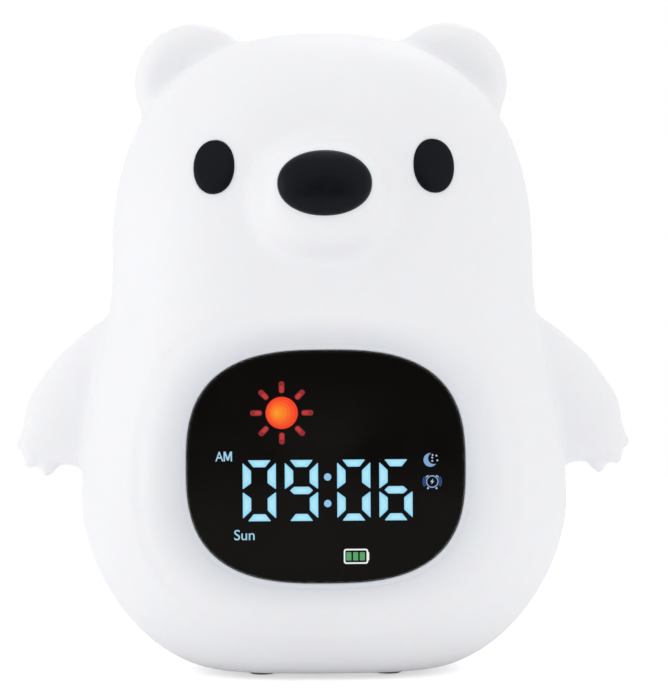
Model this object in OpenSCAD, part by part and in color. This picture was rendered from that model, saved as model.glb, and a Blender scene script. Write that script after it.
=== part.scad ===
// Kids' alarm clock with a night light: a soft bear-shaped skin over a rigid core.
// Millimetres. Z is up, the face looks along -Y, and X runs to the viewer's right.
// The origin is on the table, under the middle of the clock.
// Pieces are drawn about the upright axis of the body and then moved by axis_y.

/* [Body] */
// Height of the crown of the head above the table
crown_h = 147.2; // [140:0.5:158]
// Width at the fullest part of the belly
belly_w = 112.4; // [108:0.2:122]
// Depth at the fullest part of the belly
belly_d = 95.4; // [93:0.2:104]
// Height of the fullest part of the belly
belly_z = 39.5; // [36:0.5:43]
// Width of the head
head_w = 97; // [94:0.5:106]
// Depth of the head
head_d = 82; // [80:0.5:92]
// Height at which the head starts to round over
head_z = 94; // [91:0.5:98]
// Width of the flat under the body
base_w = 51; // [50.5:0.5:57]
// Depth of the flat under the body
base_d = 46; // [45:0.5:52]
// Squareness of the body seen from above, where 2 is an ellipse
section_power = 2.8; // [2.6:0.05:3.2]
// Squareness of the curve from the flat to the belly
base_power = 1.75; // [1.6:0.05:1.9]
// Squareness of the head seen from the front
dome_power = 2.45; // [2.3:0.05:2.7]

/* [Skin] */
// Thickness of the silicone skin
skin_wall = 2.5; // [2.3:0.1:2.9]
// Clearance between the skin and the core
skin_gap = 0.3; // [0.2:0.05:0.4]
// Clearance between the skin's openings and what fills them
lip_gap = 0.3; // [0.2:0.05:0.5]

/* [Ears] */
// Diameter of an ear
ear_dia = 28; // [24:0.5:31]
// Distance between the middles of the ears
ear_spacing = 58.7; // [54:0.1:62]
// Height of the middle of an ear
ear_z = 135.7; // [133:0.5:139]
// Thickness of an ear's rim
ear_t = 10; // [8:0.5:12]
// Thickness of the dished middle of an ear
ear_web = 5.5; // [4:0.5:7]
// How far an ear lies behind the body's axis
ear_back = 6; // [3:0.5:9]

/* [Snout, nose and eyes] */
// Width of the snout
snout_w = 31; // [29:0.5:34]
// Height of the snout
snout_h = 27; // [25:0.5:30]
// Height of the middle of the snout
snout_z = 110; // [107:0.5:113]
// How far the snout stands out from the head
snout_out = 8; // [7:0.5:10]
// Width of the nose
nose_w = 21; // [18:0.5:23]
// Height of the nose
nose_h = 14.7; // [12:0.1:16]
// Height of the middle of the nose
nose_z = 113.9; // [112:0.1:116]
// How far the nose bulges out from its rim
nose_bulge = 3.6; // [3:0.1:4.5]
// Width of an eye
eye_w = 9.2; // [8:0.1:11]
// Height of an eye
eye_h = 11.9; // [11:0.1:14]
// Distance between the middles of the eyes
eye_spacing = 49.6; // [45:0.2:52]
// Height of the middle of an eye
eye_z = 117.6; // [115:0.1:120]
// How far an eye or the nose is let into the skin
inlay_depth = 1.4; // [1:0.1:1.6]
// Clearance round an eye or the nose in its pocket
inlay_gap = 0.1; // [0.05:0.05:0.2]

/* [Arms] */
// Height of the shoulder's middle
shoulder_z = 68.5; // [66:0.5:72]
// Radius of the shoulder
shoulder_r = 13.5; // [12:0.5:15]
// Distance of the shoulder's middle from the body's axis
shoulder_x = 46; // [44:0.5:48]
// Thickness of the arm at the shoulder
shoulder_t = 15; // [12:0.5:18]
// Distance of the paw's outer edge from the body's axis
paw_x = 70.4; // [68:0.1:74]
// Height of the middle of the paw
paw_z = 52.2; // [50:0.2:56]
// Radius of the paw
paw_r = 5; // [4:0.5:6]
// How far the arms lie behind the body's axis
arm_back = 4; // [0:0.5:8]
// Length of a claw
claw_l = 2.6; // [1.5:0.1:4]

/* [Display] */
// Width of the display window
lens_w = 62.4; // [58.4:0.5:64]
// Height of the display window
lens_h = 52.2; // [48.2:0.5:54]
// Height of the middle of the display window
lens_z = 49.6; // [48:0.1:53]
// Thickness of the display window
lens_t = 2; // [1.6:0.1:2.2]
// Squareness of the display window, where 2 is an ellipse
lens_power = 2.8; // [2.6:0.05:3.1]
// Distance from the body's axis to the front of the display window
lens_set = 36.5; // [36:0.1:37.2]
// Width of the level band of skin round the window
ledge = 1.2; // [0.9:0.1:1.8]
// Width of the soft slope round the level band
slope = 8.5; // [7:0.1:9]
// How far the recess lies below the middle of the window
recess_drop = 0.7; // [0:0.1:1.5]
// Width of the rim of the core that the window is bonded to
lens_land = 2; // [1.6:0.1:2.6]
// Thickness of the diffusing film
film_t = 0.4; // [0.2:0.1:0.6]
// Depth of the light box behind the core's front wall
box_d = 6; // [5:0.5:8]
// Height of a digit
digit_h = 13.8; // [12:0.1:14.5]
// Width of a digit
digit_w = 7.6; // [7:0.1:8.2]
// Width of a segment
seg_w = 1.7; // [1.4:0.1:1.9]
// Distance between the middles of two digits of a pair
digit_pitch = 9.3; // [9:0.1:10]
// Distance between the middles of the two inner digits
pair_pitch = 11.7; // [11.4:0.1:12.4]
// How far the digits lie below the middle of the window
digit_drop = 5.3; // [4.5:0.1:6]
// Thickness of the circuit boards
board_t = 1.6; // [1.2:0.2:1.8]

/* [Core] */
// Wall of the rigid core
core_wall = 2; // [1.8:0.1:2.3]
// Diameter of the core's screw bosses
boss_d = 6.5; // [6:0.1:7.5]
// Height of the lower pair of core screws
low_boss_z = 21; // [20:0.5:23]
// Height of the upper pair of core screws
high_boss_z = 106; // [104:0.5:108]
// Length of the bosses on each side of the joint between the halves
boss_l = 9; // [8:0.5:11]

/* [Control panel] */
// Width of the control panel
panel_w = 52; // [50:0.5:54]
// Height of the control panel
panel_h = 44; // [43:0.5:46]
// Corner radius of the control panel
panel_r = 8; // [6:0.5:9]
// Height of the middle of the control panel
panel_z = 50; // [48:0.5:52]
// Distance from the body's axis to the face of the control panel
panel_set = 40; // [39.4:0.1:40.6]
// Width of the control panel's seat on the core
panel_land = 4.6; // [4.2:0.1:5]
// Diameter of a push button
button_d = 8; // [7:0.1:8.6]
// How far a button stands out from the panel
button_proud = 1.3; // [0.9:0.1:2]
// Running clearance round a button
button_gap = 0.1; // [0.08:0.01:0.15]
// Travel of a button
button_travel = 0.5; // [0.3:0.05:0.6]
// Distance between the buttons of the upper row
upper_pitch = 13; // [12:0.1:13.6]
// Distance between the buttons of the middle row
middle_pitch = 12.4; // [11.4:0.1:14]
// Height of the upper row above the middle of the panel
upper_rise = 10; // [9.6:0.1:10.6]
// Depth of the lower row below the middle of the panel
lower_drop = 11; // [10.5:0.1:11.5]
// Width of the body of a switch under a button
switch_w = 6; // [5.6:0.1:6.4]
// Height of the body of a switch under a button
switch_h = 3.5; // [3.1:0.1:4]
// Diameter of a switch stem
stem_d = 3.4; // [3:0.1:3.6]
// Travel of the power switch lever
lever_travel = 2.6; // [2:0.1:3]

/* [Charging socket] */
// Width of the charging socket
usb_w = 8.94; // [8.9:0.02:9.1]
// Height of the charging socket
usb_h = 3.26; // [3.2:0.02:3.4]
// Thickness of the charging socket's metal shell
usb_shell = 0.3; // [0.25:0.05:0.35]

/* [Base] */
// Width of the base plate
plate_w = 45; // [44.5:0.1:46]
// Depth of the base plate
plate_d = 39; // [38.5:0.1:40]
// Height of the feet below the body
foot_proud = 1.2; // [0.8:0.1:1.6]
// Diameter of a foot
foot_d = 6; // [5:0.1:6.2]
// Distance of the middles of the feet from the middle of the base, across
foot_x = 14.5; // [14:0.1:15]
// Distance of the middles of the feet from the middle of the base, front to back
foot_y = 12; // [11.6:0.1:12.2]
// How far a foot is let into the base plate
foot_seat = 1; // [0.8:0.1:1.2]
// Diameter of the loudspeaker
speaker_d = 20; // [18:0.1:20.4]
// Height of the loudspeaker
speaker_h = 5; // [4:0.1:5]

/* [Battery] */
// Diameter of the battery
cell_d = 18.4; // [17:0.1:18.6]
// Length of the battery
cell_l = 65; // [60:0.5:66]
// Thickness of the battery straps
strap_t = 1.2; // [1:0.1:1.5]
// Width of a battery strap
strap_w = 7; // [5:0.5:8]

/* [Lamp] */
// Height of the lamp board above the table
lamp_z = 118; // [115:0.5:120]
// Diameter of the lamp board
lamp_d = 40; // [36:0.5:43]
// Number of diodes on the lamp board
lamp_leds_n = 12; // [8:1:16]
// Diameter of the wire of the touch spring
touch_wire = 0.6; // [0.5:0.05:0.7]
// Diameter of the touch spring
touch_d = 8; // [7:0.5:9]
// Number of turns of the touch spring
touch_turns = 6; // [5:1:8]

/* [Screws] */
// Diameter of the thread of a screw
screw_d = 2; // [1.8:0.1:2.2]
// Diameter of the head of a screw
screw_head_d = 3.8; // [3.5:0.1:4]
// Height of the head of a screw
screw_head_h = 1.3; // [1.1:0.1:1.5]
// Clearance round a screw in a plain hole
screw_gap = 0.2; // [0.1:0.05:0.25]

/* [Hidden] */
$fn = 40;

// Colours
white = "whitesmoke";
milk = "ghostwhite";
black = "black";
green = "seagreen";
steel = "silver";
grey = "dimgray";

// Small amounts that only keep cuts clean and seats apart
over = 0.5;
clear = 0.1;
seat = 0.05;
fit = 0.2;

// Facets of the smooth forms
outer_sides = 64;
inner_sides = 44;
outer_steps = [8, 9, 11];
inner_steps = [5, 7, 6];
ear_sides = 30;
arm_sides = 18;
claw_sides = 8;
inlay_sides = 32;
inlay_steps = 4;
inlay_power = 2.1;
snout_sides = 36;
cut_sides = 56;

// Layers, as insets from the outside of the body, of which the flat underneath takes a share
base_share = 0.2;
core_out = skin_wall + skin_gap;
core_in = core_out + core_wall;

// Front to back places, from the body's axis
lens_y = -lens_set;
lens_back = lens_y + lens_t;
front_wall = lens_y + core_out;
front_wall_in = front_wall + core_wall;
box_back = front_wall_in + box_d;
panel_y = panel_set;
rear_wall = panel_y - core_out;
rear_wall_in = rear_wall - core_wall;
flange_t = 1;
ear_screw_l = 4.5;
core_screw_l = 6;
rear_screw_l = 6;
stand_screw_l = 4;
strap_screw_l = 2;
lamp_screw_l = 3.5;
base_screw_l = 4.8;
drive_slot = [2.2, 0.5, 1.2];
sound_pitch = 2.8;
sound_w = 1.2;
sound_edge = 2.5;
post_l = 0.8;
stem_l = 1.2;
main_y = rear_wall - seat - flange_t - post_l - stem_l - switch_h;

// Heights, from the table
plate_top = foot_proud + core_out;
floor_top = plate_top + core_wall;
deck_t = 2;
deck_z = floor_top + seat;
deck_top = deck_z + deck_t;
cell_z = deck_top + 3 + cell_d / 2;

// The snout, and the plane of the nose's rim on it
snout_power = 2.2;
snout_dome = 3;
snout_root = head_d / 2 - 5;
snout_deep = head_d / 2 + snout_out - snout_root;
nose_top = snout_face(nose_z + nose_h / 2);
nose_bottom = snout_face(nose_z - nose_h / 2);
nose_rim = (nose_top + nose_bottom) / 2;
nose_tilt = atan((nose_bottom - nose_top) / nose_h);

// Recesses of the skin: size of the level floor and of the outer edge
dish_floor = [lens_w, lens_h] + 2 * ledge * [1, 1];
dish_edge = dish_floor + 2 * slope * [1.18, 1];
dish_z = lens_z - recess_drop;
bay_ledge = 1;
bay_slope = 5;
bay_floor = [panel_w, panel_h] + 2 * (lip_gap + bay_ledge) * [1, 1];
bay_edge = bay_floor + 2 * bay_slope * [1, 1];
bay_power = 4;

// Places the nose's tip and the edge of the rear recess equally far from Y = 0
bay_crest = max([for (p = oval(bay_edge.x, bay_edge.y, bay_power, cut_sides)) depth_at(p.x, p.y + panel_z, 0)]);
nose_tip = nose_rim + max([for (i = [0 : inlay_steps - 1], p = oval(nose_w, nose_h, inlay_power, inlay_sides))
    let (q = 90 * i / inlay_steps) nose_bulge * sin(q) * cos(nose_tilt) - p.y * cos(q) * sin(nose_tilt)]);
axis_y = (nose_tip - bay_crest) / 2;

function mix(a, b, t) = a + (b - a) * t;
function ease(t) = t * t * (3 - 2 * t);

// Rises at once and levels out
function roll(t) = 1 - (1 - t) * (1 - t);
function flip(v) = [for (i = [len(v) - 1 : -1 : 0]) v[i]];
function middle(v) = [for (k = [0 : len(v[0]) - 1]) let (s = [for (p = v) p[k]]) (min(s) + max(s)) / 2];

// Reach of a superellipse of half sizes a and b in the direction of angle q
function reach(a, b, q, power) =
    pow(pow(abs(cos(q)) / a, power) + pow(abs(sin(q)) / b, power), -1 / power);

// Depth of the snout's face at height z, in the middle plane
function snout_face(z) =
    snout_root + snout_deep * pow(max(0, 1 - pow(abs(z - snout_z) / (snout_h / 2), snout_dome)), 1 / snout_dome);

// Outline of a superellipse, of full sizes w and h
function oval(w, h, power, n) = [
    for (i = [0 : n - 1])
        let (q = 360 * i / n, r = reach(w / 2, h / 2, q, power))
            [r * cos(q), r * sin(q)]
];

// Half of a size of the body at height z, from its three sizes and an inset
function half_at(z, base, belly, head, inset) =
    let (low = foot_proud + inset, high = crown_h - inset)
    let (u = max(0, (belly_z - z) / (belly_z - low)), t = max(0, (z - head_z) / (high - head_z)))
    z < belly_z ? mix(base / 2 - base_share * inset, belly / 2 - inset, pow(max(0, 1 - pow(u, base_power)), 1 / base_power))
    : z < head_z ? mix(belly, head, ease((z - belly_z) / (head_z - belly_z))) / 2 - inset
    : (head / 2 - inset) * pow(max(0, 1 - pow(t, dome_power)), 1 / dome_power);
function half_w(z, inset) = half_at(z, base_w, belly_w, head_w, inset);
function half_d(z, inset) = half_at(z, base_d, belly_d, head_d, inset);

// Depth of the body's surface behind or before its axis, at x and z
function depth_at(x, z, inset) =
    let (s = min(0.999, abs(x) / half_w(z, inset)))
    half_d(z, inset) * pow(1 - pow(s, section_power), 1 / section_power);

// Heights of the rings that the body is lofted through
function ring_heights(inset, steps) = concat(
    [for (i = [0 : steps[0] - 1])
        let (q = 90 * i / steps[0])
            belly_z - (belly_z - foot_proud - inset) * pow(cos(q), 2 / base_power)],
    [for (i = [0 : steps[1] - 1]) mix(belly_z, head_z, i / steps[1])],
    [for (i = [0 : steps[2] - 1])
        let (q = 90 * i / steps[2])
            head_z + (crown_h - inset - head_z) * pow(sin(q), 2 / dome_power)]
);

// A closed form through rings of points, with a fan to a tip at each end
module loft(rings, first, last) {
    n = len(rings[0]);
    m = len(rings);
    sides = [
        for (j = [0 : m - 2], i = [0 : n - 1])
            let (k = (i + 1) % n)
            let (a = j * n + i, b = j * n + k, c = (j + 1) * n + k, d = (j + 1) * n + i)
                each [[a, d, c], [a, c, b]]
    ];
    ends = [
        for (i = [0 : n - 1])
            let (k = (i + 1) % n)
                each [[m * n, i, k], [m * n + 1, (m - 1) * n + k, (m - 1) * n + i]]
    ];
    polyhedron(concat([for (r = rings) each r], [first, last]), concat(sides, ends));
}

// The body's form, inset all round
module body_form(inset, n, steps) {
    heights = ring_heights(inset, steps);
    rings = [
        for (z = heights)
            [for (p = oval(2 * half_w(z, inset), 2 * half_d(z, inset), section_power, n)) [p.x, p.y, z]]
    ];
    loft(rings, [0, 0, foot_proud + inset], [0, 0, crown_h - inset]);
}

// Moves a piece from the body's axis to its place
module placed() {
    translate([0, axis_y, 0]) children();
}

// Extrudes an outline drawn in X and Z from depth y0 to depth y1
module slab(y0, y1) {
    translate([0, y1, 0]) rotate([90, 0, 0]) linear_extrude(y1 - y0) children();
}

module rounded(w, h, r) {
    square([w - 2 * r, h], center = true);
    square([w, h - 2 * r], center = true);
    for (x = [-1, 1], y = [-1, 1])
        translate([x * (w / 2 - r), y * (h / 2 - r)]) circle(r);
}

// A cylinder along Y from y0 to y1
module rod(d, x, z, y0, y1) {
    translate([x, y1, z]) rotate([90, 0, 0]) cylinder(d = d, h = y1 - y0);
}

// A screw that points along -Z, with the underside of its head at the origin
module screw(length) {
    difference() {
        union() {
            cylinder(d = screw_head_d, h = screw_head_h);
            translate([0, 0, -length]) cylinder(d = screw_d, h = length + seat);
        }
        for (a = [0, 90])
            translate([0, 0, screw_head_h]) rotate([0, 0, a]) cube(drive_slot, center = true);
    }
}

// ---- Skin, eyes and nose ----

// What is cut from the front: a soft slope from the body down to a level floor
function dish_ring(t, n) =
    let (size = mix(dish_floor, dish_edge, t))
    [for (p = oval(size.x, size.y, lens_power, n))
        let (z = p.y + mix(lens_z, dish_z, t))
            [p.x, -mix(-lens_y, max(-lens_y, depth_at(p.x, z, 0)), roll(t)) - (t == 1 ? clear : 0), z]];

// The same for the back, round the control panel
function bay_ring(t, n) =
    let (size = mix(bay_floor, bay_edge, t))
    [for (p = oval(size.x, size.y, bay_power, n))
        let (z = p.y + panel_z)
            [p.x, mix(panel_y, max(panel_y, depth_at(p.x, z, 0)), ease(t)) + (t == 1 ? clear : 0), z]];

module recess(rings, y_out) {
    last = rings[len(rings) - 1];
    mouth = [for (p = last) [p.x, y_out, p.z]];
    loft(concat(rings, [mouth]), middle(rings[0]), middle(mouth));
}

module front_recess(n, steps) {
    recess([for (i = [0 : steps]) dish_ring(i / steps, n)], -belly_d);
}

module rear_recess(n, steps) {
    recess([for (i = [0 : steps]) flip(bay_ring(i / steps, n))], belly_d);
}

// The space behind each recess, as the core's flat front and back leave it
module front_block(grow, y) {
    slab(-belly_d, y)
        translate([0, dish_z]) polygon(oval(dish_edge.x + 2 * grow, dish_edge.y + 2 * grow, lens_power, cut_sides));
}

module rear_block(grow, y) {
    slab(y, belly_d)
        translate([0, panel_z]) polygon(oval(bay_edge.x + 2 * grow, bay_edge.y + 2 * grow, bay_power, cut_sides));
}

module ear(side) {
    rim = ear_t / 2;
    translate([side * ear_spacing / 2, ear_back, ear_z]) rotate([90, 0, 0]) rotate_extrude($fn = ear_sides) {
        intersection() {
            translate([ear_dia / 2 - rim, 0]) circle(rim, $fn = arm_sides);
            translate([0, -rim]) square([ear_dia / 2, 2 * rim]);
        }
        translate([0, -rim]) square([ear_dia / 2 - rim, rim + ear_web / 2]);
    }
}

module blob(x, z, r, t, sides = arm_sides) {
    translate([x, 0, z]) scale([r, t / 2, r]) sphere(1, $fn = sides);
}

module claw(x, z, angle) {
    hull() {
        blob(x, z, 2.2, 4, claw_sides);
        translate([cos(angle) * claw_l, 0, sin(angle) * claw_l]) blob(x, z, 0.5, 1, claw_sides);
    }
}

module arm(side) {
    tip_x = paw_x - paw_r;
    translate([0, arm_back, 0]) mirror([side < 0 ? 1 : 0, 0, 0]) {
        hull() {
            blob(shoulder_x, shoulder_z, shoulder_r, shoulder_t);
            blob(paw_x - 16.4, paw_z + 12.8, 10.9, shoulder_t * 0.85);
            blob(paw_x - 10.4, paw_z + 6.8, 9.5, shoulder_t * 0.7);
            blob(tip_x - 0.3, paw_z + 0.9, paw_r + 0.4, shoulder_t * 0.5);
            blob(tip_x - 8.4, paw_z + 0.6, 6, shoulder_t * 0.6);
        }
        claw(tip_x + 3.2, paw_z + 0.4, -20);
        claw(tip_x + 2.2, paw_z - 2.9, -62);
        claw(tip_x - 1.3, paw_z - 4.7, -80);
    }
}

// The snout, a soft squarish bump on the face
module snout() {
    steps = 8;
    rings = concat(
        [[for (p = oval(snout_w, snout_h, snout_power, snout_sides)) [p.x, -snout_root / 2, p.y + snout_z]]],
        [for (i = [0 : steps - 1])
            let (q = 90 * i / steps, r = pow(cos(q), 2 / snout_dome), d = pow(sin(q), 2 / snout_dome))
                [for (p = oval(snout_w * r, snout_h * r, snout_power, snout_sides))
                    [p.x, -snout_root - snout_deep * d, p.y + snout_z]]]
    );
    loft(rings, [0, -snout_root / 2, snout_z], [0, -snout_root - snout_deep, snout_z]);
}

// An oval inlay that bulges by front and is let in by back, facing -Y at the origin
module inlay(w, h, front, back) {
    rings = concat(
        [[for (p = oval(w, h, inlay_power, inlay_sides)) [p.x, back, p.y]]],
        [for (i = [0 : inlay_steps - 1])
            let (q = 90 * i / inlay_steps)
                [for (p = oval(w * cos(q), h * cos(q), inlay_power, inlay_sides)) [p.x, -front * sin(q), p.y]]]
    );
    loft(rings, [0, back, 0], [0, -front, 0]);
}

// Turns an inlay to the face at an eye
module at_eye(side) {
    x = eye_spacing / 2;
    step = 0.5;
    turn = atan((depth_at(x - step, eye_z, 0) - depth_at(x + step, eye_z, 0)) / (2 * step));
    tilt = atan((depth_at(x, eye_z - step, 0) - depth_at(x, eye_z + step, 0)) / (2 * step));
    translate([side * x, -depth_at(x, eye_z, 0), eye_z]) rotate([-tilt, 0, side * turn]) children();
}

module at_nose() {
    translate([0, -nose_rim, nose_z]) rotate([-nose_tilt, 0, 0]) children();
}

module silicone_skin() {
    pocket = inlay_depth + inlay_gap;
    color(white) placed() difference() {
        union() {
            body_form(0, outer_sides, outer_steps);
            snout();
            for (side = [-1, 1]) {
                ear(side);
                arm(side);
            }
        }
        difference() {
            body_form(skin_wall, inner_sides, inner_steps);
            front_block(skin_wall, lens_y + skin_wall);
            rear_block(skin_wall, panel_y - skin_wall);
        }
        front_recess(cut_sides, 4);
        rear_recess(cut_sides, 4);
        slab(lens_y - over, front_wall)
            translate([0, lens_z]) polygon(oval(lens_w + 2 * lip_gap, lens_h + 2 * lip_gap, lens_power, 64));
        slab(rear_wall, panel_y + over)
            translate([0, panel_z]) rounded(panel_w + 2 * lip_gap, panel_h + 2 * lip_gap, panel_r + lip_gap);
        linear_extrude(plate_top)
            polygon(oval(plate_w + 2 * lip_gap, plate_d + 2 * lip_gap, section_power, 64));
        for (side = [-1, 1])
            at_eye(side) inlay(eye_w + 2 * inlay_gap, eye_h + 2 * inlay_gap, 2, pocket);
        at_nose() inlay(nose_w + 2 * inlay_gap, nose_h + 2 * inlay_gap, 6, pocket);
    }
}

module eye(side) {
    color(black) placed() at_eye(side) inlay(eye_w, eye_h, 0.7, inlay_depth);
}

module left_eye() {
    eye(-1);
}

module right_eye() {
    eye(1);
}

module nose() {
    color(black) placed() at_nose() inlay(nose_w, nose_h, nose_bulge, inlay_depth);
}

// ---- Display ----

module lens_outline(grow, n) {
    translate([0, lens_z]) polygon(oval(lens_w + 2 * grow, lens_h + 2 * grow, lens_power, n));
}

module display_lens() {
    color(black) placed() slab(lens_y, lens_back) lens_outline(0, 72);
}

module lens_gasket() {
    color(grey) placed() slab(lens_back, front_wall) difference() {
        lens_outline(-fit, cut_sides);
        lens_outline(fit - lens_land, cut_sides);
    }
}

digit_z = lens_z - digit_drop;
digit_xs = [-pair_pitch / 2 - digit_pitch, -pair_pitch / 2, pair_pitch / 2, pair_pitch / 2 + digit_pitch];
// Middle and direction of each segment of a digit: 1 lies, 0 stands
bar_x = (digit_w - seg_w) / 2;
bar_z = (digit_h - seg_w) / 2;
bar_l = bar_z;
SEGMENTS = [
    [0, bar_z, 1], [0, 0, 1], [0, -bar_z, 1],
    [-bar_x, bar_l / 2, 0], [bar_x, bar_l / 2, 0], [-bar_x, -bar_l / 2, 0], [bar_x, -bar_l / 2, 0]
];
colon_x = 0.4;
colon_z = 3;
colon_d = 1.7;
// Middle and size of each window for a lit mark, from the middle of the display window
MARKS = [
    [-9.7, 12.2, 14.6, 14.6], [-22.6, 2.4, 4.6, 3.2], [-18, -15.1, 5.8, 3.4],
    [23.6, 1.5, 4.2, 4.2], [23.6, -3.4, 4.8, 4.2], [6.6, -20, 6.6, 4.4]
];

// One segment: a bar with pointed ends, shortened by a wall between the wells
module segment(length, width) {
    e = width / 2;
    l = length / 2 - 0.25;
    polygon([[-l, 0], [e - l, e], [l - e, e], [l, 0], [l - e, -e], [e - l, -e]]);
}

module wells() {
    for (x = digit_xs, s = SEGMENTS)
        translate([x + s[0], digit_z + s[1]]) rotate(s[2] == 1 ? 0 : 90)
            segment(s[2] == 1 ? digit_w - seg_w : bar_l, seg_w);
    for (s = [-1, 1])
        translate([colon_x, digit_z + s * colon_z]) circle(d = colon_d, $fn = 20);
    for (m = MARKS)
        translate([m[0], lens_z + m[1]]) square([m[2], m[3]], center = true);
}

module display_film() {
    color(white) placed() slab(lens_back, lens_back + film_t) lens_outline(-lens_land - fit, cut_sides);
}

box_ears = [lens_w / 2 + 2.4, 17];

module ear_points() {
    for (x = [-1, 1], z = [-1, 1])
        translate([x * box_ears.x, 0, lens_z + z * box_ears.y]) children();
}

// The flange lies on the core's front wall, and a raised face fills the wall's opening
module display_reflector() {
    color(milk) placed() difference() {
        union() {
            slab(lens_back + film_t, front_wall_in) lens_outline(-lens_land - fit, cut_sides);
            slab(front_wall_in, box_back) lens_outline(-0.4, cut_sides);
        }
        slab(lens_back, box_back + over) wells();
    }
}

module display_board() {
    w = 2 * box_ears.x + boss_d;
    h = 2 * box_ears.y + boss_d;
    color(green) placed() difference() {
        slab(box_back, box_back + board_t) translate([0, lens_z]) {
            rounded(w, h, 3);
            square([w - 16, lens_h - 2], center = true);
        }
        ear_points() rod(screw_d + 2 * screw_gap, 0, 0, box_back - over, box_back + board_t + over);
    }
}

led_h = 0.7;

module led(x, z, w, h) {
    translate([x, box_back - led_h / 2, z]) cube([w, led_h, h], center = true);
}

module display_leds() {
    color("lightyellow") placed() {
        for (x = digit_xs, s = SEGMENTS)
            led(x + s[0], digit_z + s[1], 0.9 + 0.7 * s[2], 1.6 - 0.7 * s[2]);
        for (s = [-1, 1])
            led(colon_x, digit_z + s * colon_z, 0.9, 0.9);
        for (m = MARKS)
            led(m[0], lens_z + m[1], 1.6, 0.9);
    }
}

module display_screws() {
    color(steel) placed() ear_points()
        translate([0, box_back + board_t, 0]) rotate([-90, 0, 0]) screw(board_t + ear_screw_l);
}

// ---- Core ----

core_boss_zs = [low_boss_z, high_boss_z];
function core_boss_x(z) = half_w(z, core_in) - boss_d / 2 + 0.8;

module core_boss_points() {
    for (z = core_boss_zs, side = [-1, 1])
        translate([side * core_boss_x(z), 0, z]) children();
}

module core_shell() {
    difference() {
        difference() {
            body_form(core_out, inner_sides, inner_steps);
            front_block(core_out, front_wall);
            rear_block(core_out, rear_wall);
        }
        difference() {
            body_form(core_in, inner_sides, inner_steps);
            front_block(core_in, front_wall_in);
            rear_block(core_in, rear_wall_in);
        }
        translate([0, 0, plate_top - over]) linear_extrude(core_wall + 2 * over)
            polygon(oval(plate_w - 3.2, plate_d - 3.2, section_power, 48));
    }
}

module half_space(side) {
    w = belly_w + 20;
    translate([-w / 2, side < 0 ? -w : 0, -over]) cube([w, w, crown_h + 20]);
}

module core_front() {
    color(milk) placed() difference() {
        union() {
            intersection() {
                core_shell();
                half_space(-1);
            }
            core_boss_points() rod(boss_d, 0, 0, -boss_l, 0);
            ear_points() rod(boss_d, 0, 0, front_wall_in - seat, box_back);
        }
        slab(front_wall - over, front_wall_in + over) lens_outline(-lens_land, cut_sides);
        core_boss_points() rod(screw_d, 0, 0, 1 - boss_l, over);
        ear_points() rod(screw_d, 0, 0, front_wall_in + 0.5, box_back + over);
    }
}

corner = [panel_w / 2 - 4.4, panel_h / 2 - 4.4];
rear_boss_l = 4;

module corner_points() {
    for (x = [-1, 1], z = [-1, 1])
        translate([x * corner.x, 0, panel_z + z * corner.y]) children();
}

module core_rear() {
    color(milk) placed() difference() {
        union() {
            intersection() {
                core_shell();
                half_space(1);
            }
            core_boss_points() rod(boss_d, 0, 0, 0, boss_l);
            corner_points() rod(boss_d - 1, 0, 0, rear_wall_in - rear_boss_l, rear_wall_in + seat);
        }
        slab(rear_wall_in - over, rear_wall + over) translate([0, panel_z])
            rounded(panel_w - 2 * panel_land, panel_h - 2 * panel_land, panel_r - panel_land);
        core_boss_points() {
            rod(screw_d + 2 * screw_gap, 0, 0, -over, boss_l + over);
            rod(screw_head_d + 2 * screw_gap, 0, 0, boss_l - 4, belly_d / 2);
        }
        corner_points() rod(screw_d, 0, 0, rear_wall_in - rear_boss_l + 1, rear_wall + over);
    }
}

module core_screws() {
    color(steel) placed() core_boss_points()
        translate([0, boss_l - 4, 0]) rotate([-90, 0, 0]) screw(boss_l - 4 + core_screw_l);
}

// ---- Control panel ----

// Middles of the five buttons, from the middle of the panel
MODE = [-upper_pitch, upper_rise];
LAMP = [0, upper_rise];
ALARM = [upper_pitch, upper_rise];
DOWN = [-middle_pitch / 2, 0];
UP = [middle_pitch / 2, 0];
BUTTONS = [MODE, LAMP, ALARM, DOWN, UP];
usb_x = -9;
lever_x = 9;
low_z = panel_z - lower_drop;
lever_w = 2.2;
lever_h = 1.8;
lever_gap = 0.15;
flange_d = button_d + 1.4;

module panel_holes(y0, y1) {
    for (b = BUTTONS)
        rod(button_d + 2 * button_gap, b.x, panel_z + b.y, y0, y1);
    slab(y0, y1) {
        translate([usb_x, low_z])
            rounded(usb_w + 2 * fit, usb_h + 2 * fit, usb_h / 2 + fit - 0.01);
        translate([lever_x - lever_travel / 2, low_z])
            square([lever_travel + lever_w + 2 * lever_gap, lever_h + 2 * lever_gap], center = true);
    }
}

// Stands that carry the main board, from the middle of the panel
stand_d = 3.6;
STANDS = [
    [-upper_pitch / 2, upper_rise + 4.4], [upper_pitch / 2, upper_rise + 4.4],
    [-17.2, -13.6], [17.2, -13.6]
];

module stand_points() {
    for (p = STANDS)
        translate([p.x, 0, panel_z + p.y]) children();
}

module rear_panel() {
    color(white) placed() difference() {
        union() {
            slab(rear_wall, panel_y) translate([0, panel_z]) rounded(panel_w, panel_h, panel_r);
            stand_points() rod(stand_d, 0, 0, main_y, rear_wall + seat);
        }
        panel_holes(rear_wall - over, panel_y + over);
        stand_points() rod(screw_d, 0, 0, main_y - over, main_y + 5);
        corner_points() {
            rod(screw_d + 2 * screw_gap, 0, 0, rear_wall - over, panel_y + over);
            rod(screw_head_d + 2 * screw_gap, 0, 0, panel_y - screw_head_h - 0.1, panel_y + over);
        }
    }
}

module rear_screws() {
    color(steel) placed() corner_points()
        translate([0, panel_y - screw_head_h - 0.1, 0]) rotate([-90, 0, 0]) screw(rear_screw_l);
}

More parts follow.
